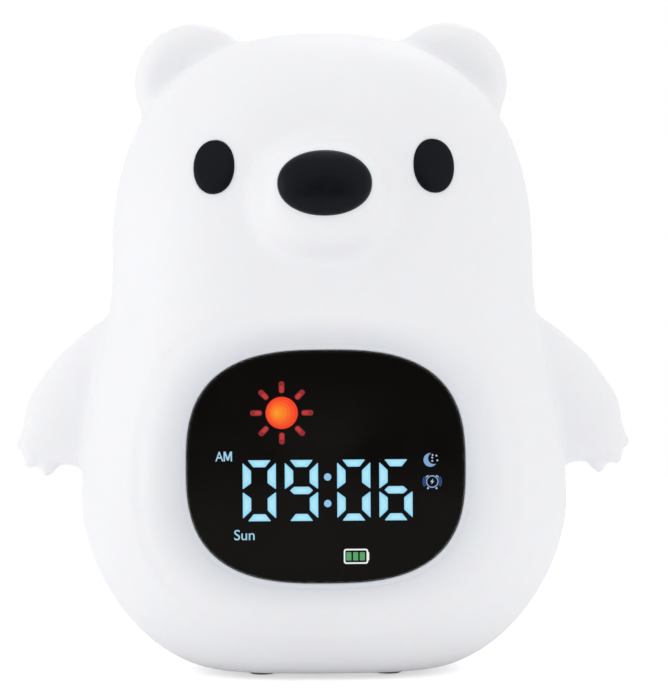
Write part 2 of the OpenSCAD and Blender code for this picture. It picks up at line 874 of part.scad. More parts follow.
// A button: a cap through the panel, a flange behind it, and a post on the switch's stem
module button(b) {
    back = rear_wall - seat;
    color(milk) placed() translate([b.x, 0, panel_z + b.y]) {
        rod(button_d, 0, 0, back, panel_y + button_proud);
        rod(flange_d, 0, 0, back - flange_t, back);
        rod(stem_d, 0, 0, back - flange_t - post_l, back - flange_t);
    }
}

stem_top = main_y + switch_h + stem_l;

module stem(b) {
    color(black) placed()
        rod(stem_d, b.x, panel_z + b.y, main_y + switch_h - 1, stem_top);
}

module mode_button() {
    button(MODE);
}

module lamp_button() {
    button(LAMP);
}

module alarm_button() {
    button(ALARM);
}

module down_button() {
    button(DOWN);
}

module up_button() {
    button(UP);
}

module mode_stem() {
    stem(MODE);
}

module lamp_stem() {
    stem(LAMP);
}

module alarm_stem() {
    stem(ALARM);
}

module down_stem() {
    stem(DOWN);
}

module up_stem() {
    stem(UP);
}

module tact_switches() {
    color(grey) placed() for (b = BUTTONS)
        difference() {
            slab(main_y, main_y + switch_h) translate([b.x, panel_z + b.y]) square(switch_w, center = true);
            rod(stem_d + 2 * button_gap, b.x, panel_z + b.y, main_y + switch_h - 2, main_y + switch_h + over);
        }
}

board_w = panel_w - 2 * panel_land - 1;
board_h = panel_h - 2 * panel_land - 1;

module main_board() {
    color(green) placed() difference() {
        slab(main_y - board_t, main_y) translate([0, panel_z]) square([board_w, board_h], center = true);
        stand_points() rod(screw_d + 2 * screw_gap, 0, 0, main_y - board_t - over, main_y + over);
    }
}

chip_y = main_y - board_t;

// Processor, memory, clock, amplifier, charger and the plugs of the leads: place across, height, width, height and
// thickness of each
chips = [
    [-4, 3, 8, 8, 1.2],
    [7, 4, 5, 4, 1],
    [7, -4, 4, 5, 1],
    [-10, -5, 4, 3, 1.5],
    [14, 12, 10, 4, 2],
    [-9, -12, 6, 4, 3],
    [9, -12, 6, 4, 3],
    [0, -12, 6, 4, 3],
];

module chip(x, z, w, h, t) {
    slab(chip_y - t, chip_y) translate([x, panel_z + z]) square([w, h], center = true);
}

module board_chips() {
    color(grey) placed() {
        for (c = chips)
            chip(c[0], c[1], c[2], c[3], c[4]);
    }
}

module board_screws() {
    color(steel) placed() stand_points()
        translate([0, main_y - board_t, 0]) rotate([90, 0, 0]) screw(board_t + stand_screw_l);
}

usb_y = panel_y - 0.3;

module usb_socket() {
    r = usb_h / 2 - 0.01;
    color(steel) placed() translate([usb_x, 0, low_z]) difference() {
        slab(main_y, usb_y) rounded(usb_w, usb_h, r);
        slab(main_y + 1.5, usb_y + over)
            rounded(usb_w - 2 * usb_shell, usb_h - 2 * usb_shell, r - usb_shell);
    }
}

module usb_tongue() {
    color(black) placed() slab(main_y + 1.5, usb_y - 0.8)
        translate([usb_x, low_z]) square([usb_w - 2.2, 0.7], center = true);
}

// The lever's foot slides in a chamber of the switch and stands out through a slot
chamber = [main_y + 0.8, main_y + switch_h - 0.8];
foot_h = lever_h + 1.4;
slide_l = lever_travel + lever_w + 2 * lever_gap;

module power_switch() {
    color(steel) placed() translate([lever_x - lever_travel / 2, 0, low_z]) difference() {
        slab(main_y, main_y + switch_h) square([9, 5], center = true);
        slab(chamber[0], chamber[1]) square([slide_l, foot_h + 2 * lever_gap], center = true);
        slab(chamber[0], main_y + switch_h + over) square([slide_l, lever_h + 2 * lever_gap], center = true);
    }
}

module power_lever() {
    color(black) placed() translate([lever_x, 0, low_z]) {
        slab(chamber[0] + lever_gap, chamber[1] - lever_gap) square([lever_w, foot_h], center = true);
        slab(chamber[0] + lever_gap, panel_y + 0.9) square([lever_w, lever_h], center = true);
    }
}

// ---- Base, loudspeaker and battery ----

legs = [[-plate_w / 2 + 5.5, 0], [plate_w / 2 - 5.5, 0], [0, -plate_d / 2 + 5.5], [0, plate_d / 2 - 5.5]];
leg_d = 5;

module leg_points() {
    for (p = legs)
        translate([p.x, p.y, 0]) children();
}

module foot_points() {
    for (x = [-1, 1], y = [-1, 1])
        translate([x * foot_x, y * foot_y, 0]) children();
}

module base_plate() {
    color(white) placed() difference() {
        translate([0, 0, foot_proud]) linear_extrude(core_out)
            polygon(oval(plate_w, plate_d, section_power, 64));
        foot_points() translate([0, 0, foot_proud - over]) cylinder(d = foot_d + 2 * seat, h = foot_seat + over);
        leg_points() {
            cylinder(d = screw_d + 2 * screw_gap, h = plate_top + over);
            cylinder(d = screw_head_d + 2 * screw_gap, h = foot_proud + screw_head_h + 0.1);
        }
        for (i = [-2 : 2])
            translate([0, i * sound_pitch, 0]) linear_extrude(plate_top + over) {
                l = sqrt(pow(speaker_d / 2 - sound_edge, 2) - pow(i * sound_pitch, 2));
                square([2 * l - sound_w, sound_w], center = true);
                for (s = [-1, 1])
                    translate([s * (l - sound_w / 2), 0]) circle(d = sound_w, $fn = 20);
            }
    }
}

module base_screws() {
    color(steel) placed() leg_points()
        translate([0, 0, foot_proud + screw_head_h + 0.1]) rotate([180, 0, 0]) screw(base_screw_l);
}

module feet() {
    color(grey) placed() foot_points() cylinder(d = foot_d, h = foot_proud + foot_seat);
}

module speaker_basket() {
    color(grey) placed() translate([0, 0, plate_top]) difference() {
        union() {
            cylinder(d = speaker_d, h = 1.2);
            cylinder(d1 = speaker_d - 1, d2 = speaker_d - 8, h = speaker_h - 2);
        }
        translate([0, 0, -over]) cylinder(d = speaker_d - 3, h = over + 0.8);
        translate([0, 0, 0.29]) cylinder(d1 = speaker_d - 3, d2 = speaker_d - 10, h = speaker_h - 3);
        cylinder(d = 6, h = speaker_h);
    }
}

module speaker_cone() {
    color(black) placed() translate([0, 0, plate_top + 0.3]) difference() {
        union() {
            cylinder(d = speaker_d - 3.2, h = 0.4);
            cylinder(d1 = speaker_d - 6, d2 = 5.6, h = 1.6);
        }
        translate([0, 0, -0.4]) cylinder(d1 = speaker_d - 6, d2 = 5.6, h = 1.6);
    }
}

module speaker_magnet() {
    color(steel) placed() translate([0, 0, plate_top + speaker_h - 2]) cylinder(d = speaker_d - 9, h = 2);
}

saddle_x = cell_l / 2 - 16;
strap_foot = cell_d / 2 + strap_t + 3;

module cell_rod(d, l) {
    translate([-l / 2, 0, cell_z]) rotate([0, 90, 0]) cylinder(d = d, h = l);
}

module battery() {
    color("steelblue") placed() {
        cell_rod(cell_d, cell_l - 1);
        translate([cell_l - 1, 0, 0] / 2) translate([0, 0, cell_z]) rotate([0, 90, 0]) cylinder(d = 6, h = 1);
    }
}

module strap_points() {
    for (x = [-1, 1], y = [-1, 1])
        translate([x * saddle_x, y * strap_foot, deck_top]) children();
}

module battery_straps() {
    r = cell_d / 2 + fit;
    color(grey) placed() for (side = [-1, 1])
        translate([side * saddle_x, 0, 0]) difference() {
            union() {
                cell_rod(2 * r + 2 * strap_t, strap_w);
                translate([-strap_w / 2, -r - strap_t, deck_top])
                    cube([strap_w, 2 * r + 2 * strap_t, cell_z - deck_top]);
                translate([-strap_w / 2, -strap_foot - 3, deck_top])
                    cube([strap_w, 2 * strap_foot + 6, strap_t]);
            }
            cell_rod(2 * r, strap_w + 1);
            translate([-strap_w, -r, deck_top - over]) cube([2 * strap_w, 2 * r, cell_z - deck_top + over]);
            for (y = [-1, 1])
                translate([0, y * strap_foot, deck_top - over])
                    cylinder(d = screw_d + 2 * screw_gap, h = strap_t + 2 * over);
        }
}

module strap_screws() {
    color(steel) placed() strap_points() translate([0, 0, strap_t]) screw(strap_t + strap_screw_l);
}

// ---- Lamp tower ----

column_y = cell_d / 2 + 3.2;
column_t = 2.4;
column_w = 12;
lamp_ring = lamp_d / 2 - 4;
lead_hole = [-9, 8];

module lamp_points() {
    for (a = [90, 210, 330])
        rotate([0, 0, a]) translate([lamp_ring - 4.5, 0, 0]) children();
}

// The deck is clamped over the core's floor, carries the battery and holds the lamp up
module lamp_tower() {
    color(milk) placed() difference() {
        union() {
            translate([0, 0, deck_z]) linear_extrude(deck_t) {
                polygon(oval(plate_w + 1, plate_d + 1, section_power, 64));
                square([2 * saddle_x + strap_w, 2 * strap_foot + 6], center = true);
            }
            leg_points() translate([0, 0, plate_top]) cylinder(d = leg_d, h = deck_z - plate_top + seat);
            for (side = [-1, 1]) {
                translate([side * saddle_x - strap_w / 2, -cell_d / 2 + 1, deck_top])
                    cube([strap_w, cell_d - 2, 6]);
                translate([-column_w / 2, side * column_y - column_t / 2, deck_top])
                    cube([column_w, column_t, lamp_z - deck_top]);
            }
            for (z = [60, 90])
                translate([-column_t / 2, -column_y, z]) cube([column_t, 2 * column_y, 3]);
            translate([0, 0, lamp_z - 2]) cylinder(d = lamp_d, h = 2);
            lamp_points() translate([0, 0, lamp_z - 5]) cylinder(d = 4.4, h = 4);
        }
        cell_rod(cell_d + 2 * seat, cell_l);
        translate([0, 0, deck_z - over]) cylinder(d = speaker_d + 1, h = deck_t + 2 * over);
        leg_points() translate([0, 0, plate_top - over]) cylinder(d = screw_d, h = 4.2);
        strap_points() translate([0, 0, -deck_t - over]) cylinder(d = screw_d, h = deck_t + 2 * over);
        lamp_points() translate([0, 0, lamp_z - 4.5]) cylinder(d = screw_d, h = 5);
        translate([lead_hole.x, lead_hole.y, lamp_z - 3]) cylinder(d = 3, h = 4);
    }
}

module lamp_board() {
    color(white) placed() difference() {
        translate([0, 0, lamp_z]) cylinder(d = lamp_d, h = board_t);
        lamp_points() translate([0, 0, lamp_z - over]) cylinder(d = screw_d + 2 * screw_gap, h = board_t + 2 * over);
    }
}

module lamp_leds() {
    color("lightyellow") placed() for (i = [0 : lamp_leds_n - 1])
        rotate([0, 0, 360 * i / lamp_leds_n + 7]) translate([lamp_ring + 1, 0, lamp_z + board_t + 0.5])
            cube([2.8, 3.5, 1], center = true);
}

module lamp_screws() {
    color(steel) placed() lamp_points() translate([0, 0, lamp_z + board_t]) screw(board_t + lamp_screw_l);
}

// A helical tube: 8 rings a turn, 6 sides
module touch_spring() {
    low = lamp_z + board_t + touch_wire / 2;
    high = crown_h - core_in - 0.6 - touch_wire / 2;
    rings_n = 10 * touch_turns;
    rings = [
        for (i = [0 : rings_n])
            let (q = 360 * touch_turns * i / rings_n, r = (touch_d - touch_wire) / 2)
            let (z = mix(low, high, i / rings_n))
                [for (k = [0 : 5])
                    let (a = 60 * k, out = r + touch_wire / 2 * cos(a))
                        [out * cos(q), out * sin(q), z + touch_wire / 2 * sin(a)]]
    ];
    color("gold") placed() loft([for (r = rings) flip(r)], middle(rings[0]), middle(rings[rings_n]));
}

// ---- Inner leads ----

// Points on a smooth curve from a to d that leaves towards b and arrives from c
function curve(a, b, c, d, n) = [
    for (i = [0 : n])
        let (t = i / n, u = 1 - t)
            u * u * u * a + 3 * u * u * t * b + 3 * u * t * t * c + t * t * t * d
];

function unit(v) = v / norm(v);

// A round lead along a route that starts towards -Y and never runs along X alone
module lead(route, d) {
    n = len(route);
    rings = [
        for (i = [0 : n - 1])
            let (along = i == 0 ? [0, -1, 0] : unit(route[min(i + 1, n - 1)] - route[i - 1]))
            let (side = unit(cross(along, [1, 0, 0])), up = cross(side, along))
                [for (k = [0 : 7]) route[i] + d / 2 * (cos(45 * k) * side + sin(45 * k) * up)]
    ];
    loft(rings, route[0], route[n - 1]);
}

// Where the plugs stand on the main board, and how far each lead swings out before it turns
plug_y = chip_y - 3;
plug_drop = 12;
plug_pitch = 9;
plug_z = panel_z - plug_drop;
lead_d = 1.4;
ribbon_w = 8;
ribbon_t = 0.15;
ribbon_x = 14;
ribbon_rise = 18;
ribbon_swing = 14;
lamp_swing = 8;
lamp_climb = 30;
cell_swing = 6;
cell_reach = [10, 14, 8];
cell_tab = 2;
speaker_swing = 4;
speaker_reach = [2.5, 4, 7];
speaker_tab = [5, 5, 2.3];

module display_ribbon() {
    from = [box_back + board_t, lens_z + ribbon_rise];
    to = [chip_y - 2, panel_z + plug_drop];
    path = curve(from, from + [ribbon_swing, 0], to - [ribbon_swing, 0], to, 12);
    thick = [0, ribbon_t];
    color("peru") placed() translate([ribbon_x, 0, 0]) rotate([90, 0, 90]) linear_extrude(ribbon_w, center = true)
        polygon(concat([for (p = path) p + thick], flip([for (p = path) p - thick])));
}

module lamp_lead() {
    from = [-plug_pitch, plug_y, plug_z];
    to = [lead_hole.x, lead_hole.y, lamp_z];
    color("red") placed() lead(curve(from, from - [0, lamp_swing, 0], to - [0, 0, lamp_climb], to, 14), lead_d);
}

module battery_lead() {
    from = [0, plug_y, plug_z];
    to = [(cell_l + 1) / 2 + lead_d / 2 + seat, 0, cell_z + cell_tab];
    color("red") placed() lead(curve(from, from - [0, cell_swing, 0], to + cell_reach, to, 14), lead_d);
}

module speaker_lead() {
    from = [plug_pitch, plug_y, plug_z];
    to = speaker_tab + [0, 0, plate_top];
    color("black") placed() lead(curve(from, from - [0, speaker_swing, 0], to + speaker_reach, to, 14), lead_d);
}

silicone_skin();
left_eye();
right_eye();
nose();
display_lens();
lens_gasket();
display_film();
display_reflector();
display_board();
display_leds();
display_screws();
core_front();
core_rear();
core_screws();
rear_panel();
rear_screws();
mode_button();
lamp_button();
alarm_button();
down_button();
up_button();
mode_stem();
lamp_stem();
alarm_stem();
down_stem();
up_stem();
tact_switches();
main_board();
board_chips();
board_screws();
usb_socket();
usb_tongue();
power_switch();
power_lever();
lamp_tower();
lamp_board();
lamp_leds();
lamp_screws();
touch_spring();
battery();
battery_straps();
strap_screws();
speaker_basket();
speaker_magnet();
speaker_cone();
base_plate();
base_screws();
feet();
display_ribbon();
lamp_lead();
battery_lead();
speaker_lead();
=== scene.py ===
"""Dresses a kids' alarm clock with a night light: soft skin, lit display, control panel, sole and stage.

Lengths in the drawing functions are millimetres about the body's upright axis, with -Y to the front.
Finished pieces are in metres, in the frame's place. Works in Blender 4.5.
"""
import math

import bmesh
import bpy
import numpy as np
import openvdb
from bpy.props import FloatProperty, FloatVectorProperty, PointerProperty
from mathutils import Matrix, Vector


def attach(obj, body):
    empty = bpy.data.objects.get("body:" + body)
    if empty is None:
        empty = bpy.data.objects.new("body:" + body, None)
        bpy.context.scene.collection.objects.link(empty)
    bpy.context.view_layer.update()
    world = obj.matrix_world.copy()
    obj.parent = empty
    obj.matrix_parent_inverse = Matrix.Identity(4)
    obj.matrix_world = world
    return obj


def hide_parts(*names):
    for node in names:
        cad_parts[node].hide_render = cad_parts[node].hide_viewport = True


bl_info = {
    "name": "Kids alarm clock",
    "version": (1, 0, 0),
    "blender": (4, 5, 0),
    "location": "3D View > Sidebar > Alarm clock",
    "description": "Builds the visible pieces of a soft alarm clock with a night light over its frame",
    "category": "Object",
}

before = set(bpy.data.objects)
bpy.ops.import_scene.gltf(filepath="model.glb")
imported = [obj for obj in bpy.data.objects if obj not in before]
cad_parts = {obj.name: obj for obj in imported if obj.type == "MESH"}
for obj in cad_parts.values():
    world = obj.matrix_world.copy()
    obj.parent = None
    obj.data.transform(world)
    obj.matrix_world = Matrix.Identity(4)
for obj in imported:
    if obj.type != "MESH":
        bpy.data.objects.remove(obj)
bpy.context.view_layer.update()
BODY = "clock"
MM = 0.001

# How far in the head the snout starts, and the squareness of its outline and its side, where 2 is an ellipse
SNOUT_ROOT, SNOUT_POWER, SNOUT_DOME = 5.0, 2.2, 3.0
# Squareness of the eyes and the nose, and of the recess round the control panel
INLAY_POWER, BAY_POWER = 2.1, 4
# How much wider than high the slope round the window is
SLOPE_SPREAD = 1.18
# The first mark's height off the window, the step to the next layer of marks, and their thickness
MARK_LIFT, MARK_STEP, THICK = 0.03, 0.012, 0.04
ICON_T = 0.12
# Radius of a screw's hole, how deep its head sits, and the room round its head
SCREW_HOLE, HEAD_SINK, HEAD_ROOM = 1.2, 1.4, 0.2
# Places of the charging socket and the power switch across the panel
USB_X, LEVER_X = -9.0, 9.0
SOLE_T = 2.8
SOLE_SCREWS = ((-17, 0), (17, 0), (0, -14), (0, 14))
FULL_TURN = 6.28


# ---- Sizes and colours that a user would change ----

def length(name, description, value):
    """A length property whose default is given in millimetres."""
    return FloatProperty(name=name, description=description, default=value * MM,
                         unit="LENGTH", subtype="DISTANCE")


def angle(name, description, degrees):
    """An angle property whose default is given in degrees."""
    return FloatProperty(name=name, description=description, default=math.radians(degrees),
                         unit="ROTATION", subtype="ANGLE")


def number(name, description, value):
    """A plain number's property."""
    return FloatProperty(name=name, description=description, default=value)


def colour(name, description, value):
    return FloatVectorProperty(name=name, description=description, default=value, subtype="COLOR",
                               size=3, min=0.0, max=1.0)


class BodySizes(bpy.types.PropertyGroup):
    crown: length("Crown", "Height of the crown of the head above the table", 147.2)
    belly_w: length("Belly width", "Width at the fullest part of the belly", 112.4)
    belly_d: length("Belly depth", "Depth at the fullest part of the belly", 95.4)
    belly_z: length("Belly height", "Height of the fullest part of the belly", 39.5)
    head_w: length("Head width", "Width of the head", 97.0)
    head_d: length("Head depth", "Depth of the head", 82.0)
    head_z: length("Head height", "Height at which the head starts to round over", 94.0)
    base_w: length("Base width", "Width of the flat under the body", 51.0)
    base_d: length("Base depth", "Depth of the flat under the body", 46.0)
    section_power: number("Section", "Squareness of the body seen from above, where 2 is an ellipse", 2.8)
    base_power: number("Base curve", "Squareness of the curve from the flat to the belly", 1.75)
    dome_power: number("Dome", "Squareness of the head seen from the front", 2.45)
    wall: length("Wall", "Thickness of the skin", 2.5)
    base_z: length("Underside", "Height of the underside of the skin above the table", 1.2)
    axis_y: length("Axis", "How far the body's axis lies behind the middle of the clock", 3.6589)
    ear_dia: length("Ear diameter", "Diameter of an ear", 28.0)
    ear_spacing: length("Ear spacing", "Distance between the middles of the ears", 58.7)
    ear_z: length("Ear height", "Height of the middle of an ear", 135.7)
    ear_t: length("Ear thickness", "Thickness of an ear's rim", 10.0)
    ear_back: length("Ear setback", "How far an ear lies behind the body's axis", 6.0)
    shoulder_z: length("Shoulder height", "Height of the shoulder's middle", 68.5)
    shoulder_r: length("Shoulder radius", "Radius of the shoulder", 13.5)
    shoulder_x: length("Shoulder distance", "Distance of the shoulder's middle from the axis", 46.0)
    shoulder_t: length("Arm thickness", "Thickness of the arm at the shoulder", 15.0)
    paw_x: length("Paw reach", "Distance of the paw's outer edge from the axis", 70.4)
    paw_z: length("Paw height", "Height of the middle of the paw", 52.2)
    paw_r: length("Paw radius", "Radius of the paw", 5.0)
    arm_back: length("Arm setback", "How far the arms lie behind the body's axis", 4.0)
    claw_l: length("Claw length", "Length of a claw", 2.6)
    voxel: length("Mesh step", "Size of the steps that the soft skin is meshed with", 0.9)


class FaceSizes(bpy.types.PropertyGroup):
    snout_w: length("Snout width", "Width of the snout", 31.0)
    snout_h: length("Snout height", "Height of the snout", 27.0)
    snout_z: length("Snout place", "Height of the middle of the snout", 110.0)
    snout_out: length("Snout reach", "How far the snout stands out from the head", 8.0)
    nose_w: length("Nose width", "Width of the nose", 21.0)
    nose_h: length("Nose height", "Height of the nose", 14.7)
    nose_z: length("Nose place", "Height of the middle of the nose", 113.9)
    nose_bulge: length("Nose bulge", "How far the nose bulges out from its rim", 3.6)
    eye_w: length("Eye width", "Width of an eye", 9.5)
    eye_h: length("Eye height", "Height of an eye", 12.4)
    eye_spacing: length("Eye spacing", "Distance between the middles of the eyes", 49.6)
    eye_z: length("Eye place", "Height of the middle of an eye", 117.4)
    eye_bulge: length("Eye bulge", "How far an eye bulges out of the skin", 0.7)
    depth: length("Inlay depth", "How far an eye or the nose is let into the skin", 1.4)
    gap: length("Inlay gap", "Clearance round an eye or the nose in its pocket", 0.1)


class DisplaySizes(bpy.types.PropertyGroup):
    lens_w: length("Window width", "Width of the display window", 62.4)
    lens_h: length("Window height", "Height of the display window", 52.2)
    lens_z: length("Window place", "Height of the middle of the window", 49.6)
    lens_t: length("Window thickness", "Thickness of the display window", 2.0)
    lens_set: length("Window depth", "Distance from the axis to the front of the window", 36.5)
    lens_power: number("Window outline", "Squareness of the window, where 2 is an ellipse", 2.8)
    edge_r: length("Window edge", "Radius of the window's polished edge", 0.5)
    ledge: length("Ledge", "Width of the level band of skin round the window", 0.6)
    slope: length("Slope", "Width of the soft slope round the level band", 9.1)
    drop: length("Recess drop", "How far the recess lies below the middle of the window", 0.7)
    lip_gap: length("Lip gap", "Clearance between the skin's openings and what fills them", 0.3)
    digit_w: length("Digit width", "Width of a digit", 7.5)
    digit_h: length("Digit height", "Height of a digit", 13.8)
    digit_drop: length("Digit place", "How far the digits lie below the middle of the window", 5.3)
    pair_pitch: length("Pair pitch", "Distance between the middles of the two inner digits", 11.8)
    digit_pitch: length("Digit pitch", "Distance between the middles of two digits of a pair", 9.5)
    row_shift: length("Row shift", "How far the row of digits lies to the right of the middle", 0.4)


class PanelSizes(bpy.types.PropertyGroup):
    panel_w: length("Panel width", "Width of the control panel", 52.0)
    panel_h: length("Panel height", "Height of the control panel", 44.0)
    panel_r: length("Panel corner", "Corner radius of the control panel", 8.0)
    panel_z: length("Panel place", "Height of the middle of the control panel", 50.0)
    panel_set: length("Panel depth", "Distance from the axis to the face of the panel", 40.0)
    panel_t: length("Panel thickness", "Thickness of the control panel", 2.8)
    bay_slope: length("Rear slope", "Width of the soft slope round the control panel", 5.0)
    button_d: length("Button diameter", "Diameter of a push button", 8.0)
    button_proud: length("Button height", "How far a button stands out from the panel", 1.3)
    upper_pitch: length("Upper pitch", "Distance between the buttons of the upper row", 13.0)
    middle_pitch: length("Middle pitch", "Distance between the buttons of the middle row", 12.4)
    upper_rise: length("Upper row", "Height of the upper row above the middle of the panel", 10.0)
    lower_drop: length("Lower row", "Depth of the lower row below the middle of the panel", 11.0)
    corner_in: length("Screw inset", "Distance of a panel screw from the panel's edges", 4.4)
    screw_d: length("Screw head", "Diameter of the head of a screw", 3.8)


class SoleSizes(bpy.types.PropertyGroup):
    plate_w: length("Plate width", "Width of the base plate", 45.0)
    plate_d: length("Plate depth", "Depth of the base plate", 39.0)
    foot_d: length("Foot diameter", "Diameter of a foot", 6.0)
    foot_x: length("Foot spread", "Distance of a foot from the middle, across", 14.5)
    foot_y: length("Foot span", "Distance of a foot from the middle, front to back", 12.0)
    slot_pitch: length("Slot pitch", "Distance between two sound slots", 2.8)
    slot_w: length("Slot width", "Width of a sound slot", 1.2)
    speaker_d: length("Loudspeaker", "Diameter of the loudspeaker", 20.0)


class Finishes(bpy.types.PropertyGroup):
    skin: colour("Skin", "Colour of the silicone skin", (0.885, 0.888, 0.91))
    face: colour("Face", "Colour of the eyes and the nose", (0.0045, 0.0055, 0.0085))
    window: colour("Window", "Colour of the display window", (0.0046, 0.0040, 0.0034))
    panel: colour("Panel", "Colour of the control panel and the base plate", (0.74, 0.745, 0.76))
    button: colour("Buttons", "Colour of the push buttons", (0.58, 0.60, 0.63))
    digit: colour("Digits", "Light of the clock digits", (0.335, 0.72, 0.91))
    sun: colour("Sun", "Light of the middle of the sun", (0.94, 0.31, 0.01))


class StageSettings(bpy.types.PropertyGroup):
    distance: length("Camera distance", "Distance from the camera to the clock", 1200.0)
    target_z: length("Target", "Height that the camera looks at", 74.6)
    azimuth: angle("Azimuth", "Direction of the camera, from the front", -0.8)
    elevation: angle("Elevation", "Height of the camera above the horizon", 3.2)
    roll: angle("Roll", "Turn of the camera about its own axis", -0.35)
    focal: number("Focal length", "Focal length of the camera in millimetres", 268.1)
    floor_r: length("Floor", "Radius of the floor", 550.0)
    world_level: number("Surrounding light", "Strength of the light from all round", 0.90)
    key_level: number("Key light", "Power of the soft lamp on the left, in watts", 1.65)


GROUPS = {"clock_body": BodySizes, "clock_face": FaceSizes, "clock_display": DisplaySizes,
          "clock_panel": PanelSizes, "clock_sole": SoleSizes, "clock_finish": Finishes,
          "clock_stage": StageSettings}


class Sizes:
    """The lengths of a property group in millimetres, and its other values as they are."""

    def __init__(self, group):
        for name, prop in group.bl_rna.properties.items():
            if prop.type == "FLOAT" and not prop.is_array:
                value = getattr(group, name)
                setattr(self, name, value / MM if prop.unit == "LENGTH" else value)


def sizes(name):
    return Sizes(getattr(bpy.context.scene, "clock_" + name))


def finish_colour(name):
    return tuple(getattr(bpy.context.scene.clock_finish, name))


# ---- Forms ----

def mix(a, b, t):
    return a + (b - a) * t


def ease(t):
    return t * t * (3 - 2 * t)


def even(t):
    return t


def half_sizes(z, inset=0.0):
    """Half width and half depth of the body at heights z, as the frame's solids have them."""
    b = sizes("body")
    z = np.asarray(z, float)
    # The flat underneath draws in less than the sides do
    low, high, flat_in = b.base_z + inset, b.crown - inset, 0.2 * inset
    u = np.clip((b.belly_z - z) / (b.belly_z - low), 0, 1)
    t = np.clip((z - b.head_z) / (high - b.head_z), 0, 1)
    lower = (1 - u ** b.base_power) ** (1 / b.base_power)
    middle = ease(np.clip((z - b.belly_z) / (b.head_z - b.belly_z), 0, 1))
    upper = (1 - t ** b.dome_power) ** (1 / b.dome_power)
    halves = []
    for base, belly, head in ((b.base_w, b.belly_w, b.head_w), (b.base_d, b.belly_d, b.head_d)):
        below = mix(base / 2 - flat_in, belly / 2 - inset, lower)
        above = mix(belly, head, middle) / 2 - inset
        dome = (head / 2 - inset) * upper
        halves.append(np.where(z < b.belly_z, below, np.where(z < b.head_z, above, dome)))
    return halves


def depth_at(x, z, inset=0.0):
    """Distance of the body's surface from its middle plane, at x and z."""
    w, d = half_sizes(z, inset)
    p = sizes("body").section_power
    s = np.clip(np.abs(x) / w, 0, 0.999)
    return d * (1 - s ** p) ** (1 / p)


def oval(w, h, power, n):
    """Outline of a superellipse of full sizes w and h, as n points."""
    q = np.arange(n) * 2 * np.pi / n
    r = ((np.abs(np.cos(q)) * 2 / w) ** power + (np.abs(np.sin(q)) * 2 / h) ** power) ** (-1 / power)
    return np.stack([r * np.cos(q), r * np.sin(q)], 1)


def rounded(w, h, r, n=12):
    """Outline of a rectangle with round corners."""
    points = []
    for k, (x, y) in enumerate(((1, 1), (-1, 1), (-1, -1), (1, -1))):
        for i in range(n + 1):
            q = (k + i / n) * math.pi / 2
            points.append((x * (w / 2 - r) + r * math.cos(q), y * (h / 2 - r) + r * math.sin(q)))
    return np.array(points)


def circle(r, n=48, x=0.0, y=0.0, start=0.0):
    q = start + np.arange(n) * 2 * np.pi / n
    return np.stack([x + r * np.cos(q), y + r * np.sin(q)], 1)


def ring(outline, y, z=0.0):
    """An outline drawn in X and Z, as points at depth y."""
    return np.column_stack([outline[:, 0], np.broadcast_to(y, len(outline)), outline[:, 1] + z])


def loft(rings, first=None, last=None):
    """Points and faces of a closed form through rings of equal length, with a tip at each end."""
    rings = np.asarray(rings, float)
    m, n = rings.shape[:2]
    first = rings[0].mean(0) if first is None else first
    last = rings[-1].mean(0) if last is None else last
    points = np.vstack([rings.reshape(-1, 3), [first], [last]])
    i = np.arange(n)
    k = (i + 1) % n
    sides = np.concatenate([np.stack([j * n + i, j * n + k, (j + 1) * n + k, (j + 1) * n + i], 1)
                            for j in range(m - 1)])
    tips = np.concatenate([np.stack([k, i, np.full(n, m * n)], 1),
                           np.stack([(m - 1) * n + i, (m - 1) * n + k, np.full(n, m * n + 1)], 1)])
    return points, sides.tolist() + tips.tolist()


def lathe(profile, n=48):
    """A closed form turned about the Z axis from (radius, height) pairs, listed from one tip to the other."""
    q = np.arange(n) * 2 * np.pi / n
    rings = [np.stack([r * np.cos(q), r * np.sin(q), np.full(n, z)], 1) for r, z in profile]
    return loft(rings)


def prism(outline, low, high):
    """A closed plate with the outline in X and Y, from height low to high."""
    n = len(outline)
    points = [(x, y, low) for x, y in outline] + [(x, y, high) for x, y in outline]
    faces = [list(range(n))[::-1], list(range(n, 2 * n))]
    faces += [[i, (i + 1) % n, n + (i + 1) % n, n + i] for i in range(n)]
    return np.array(points, float), faces


def band(outer, inner, low, high):
    """A closed plate between two outlines of equal length."""
    n = len(outer)
    loops = [(outer, low), (outer, high), (inner, high), (inner, low)]
    points = [(x, y, z) for loop, z in loops for x, y in loop]
    faces = []
    for j in range(4):
        a, b = j * n, (j + 1) % 4 * n
        faces += [[a + i, a + (i + 1) % n, b + (i + 1) % n, b + i] for i in range(n)]
    return np.array(points, float), faces


def together(*forms):
    """Several forms as one list of points and one of faces."""
    points, faces, count = [], [], 0
    for p, f in forms:
        points.append(p)
        faces += [[i + count for i in face] for face in f]
        count += len(p)
    return np.vstack(points), faces


def moved(form, move=(0, 0, 0), turn=None):
    """A form turned by a matrix and then moved."""
    points, faces = form
    if turn is not None:
        points = points @ np.array(turn.to_3x3()).T
    return points + np.array(move, float), faces


def facing_front(form, depth, height, x=0.0):
    """Stands a form drawn in X and Y up so that its +Z looks along -Y."""
    points, faces = form
    return np.stack([points[:, 0] + x, depth - points[:, 2], points[:, 1] + height], 1), faces


def facing_back(form, depth, height, x=0.0):
    """Stands a form up so that its +Z looks along +Y and it reads from behind."""
    points, faces = form
    return np.stack([x - points[:, 0], depth + points[:, 2], points[:, 1] + height], 1), faces


# ---- Objects ----

def linked(name, data):
    """An object of that data, in the scene."""
    obj = bpy.data.objects.new(name, data)
    bpy.context.scene.collection.objects.link(obj)
    return obj


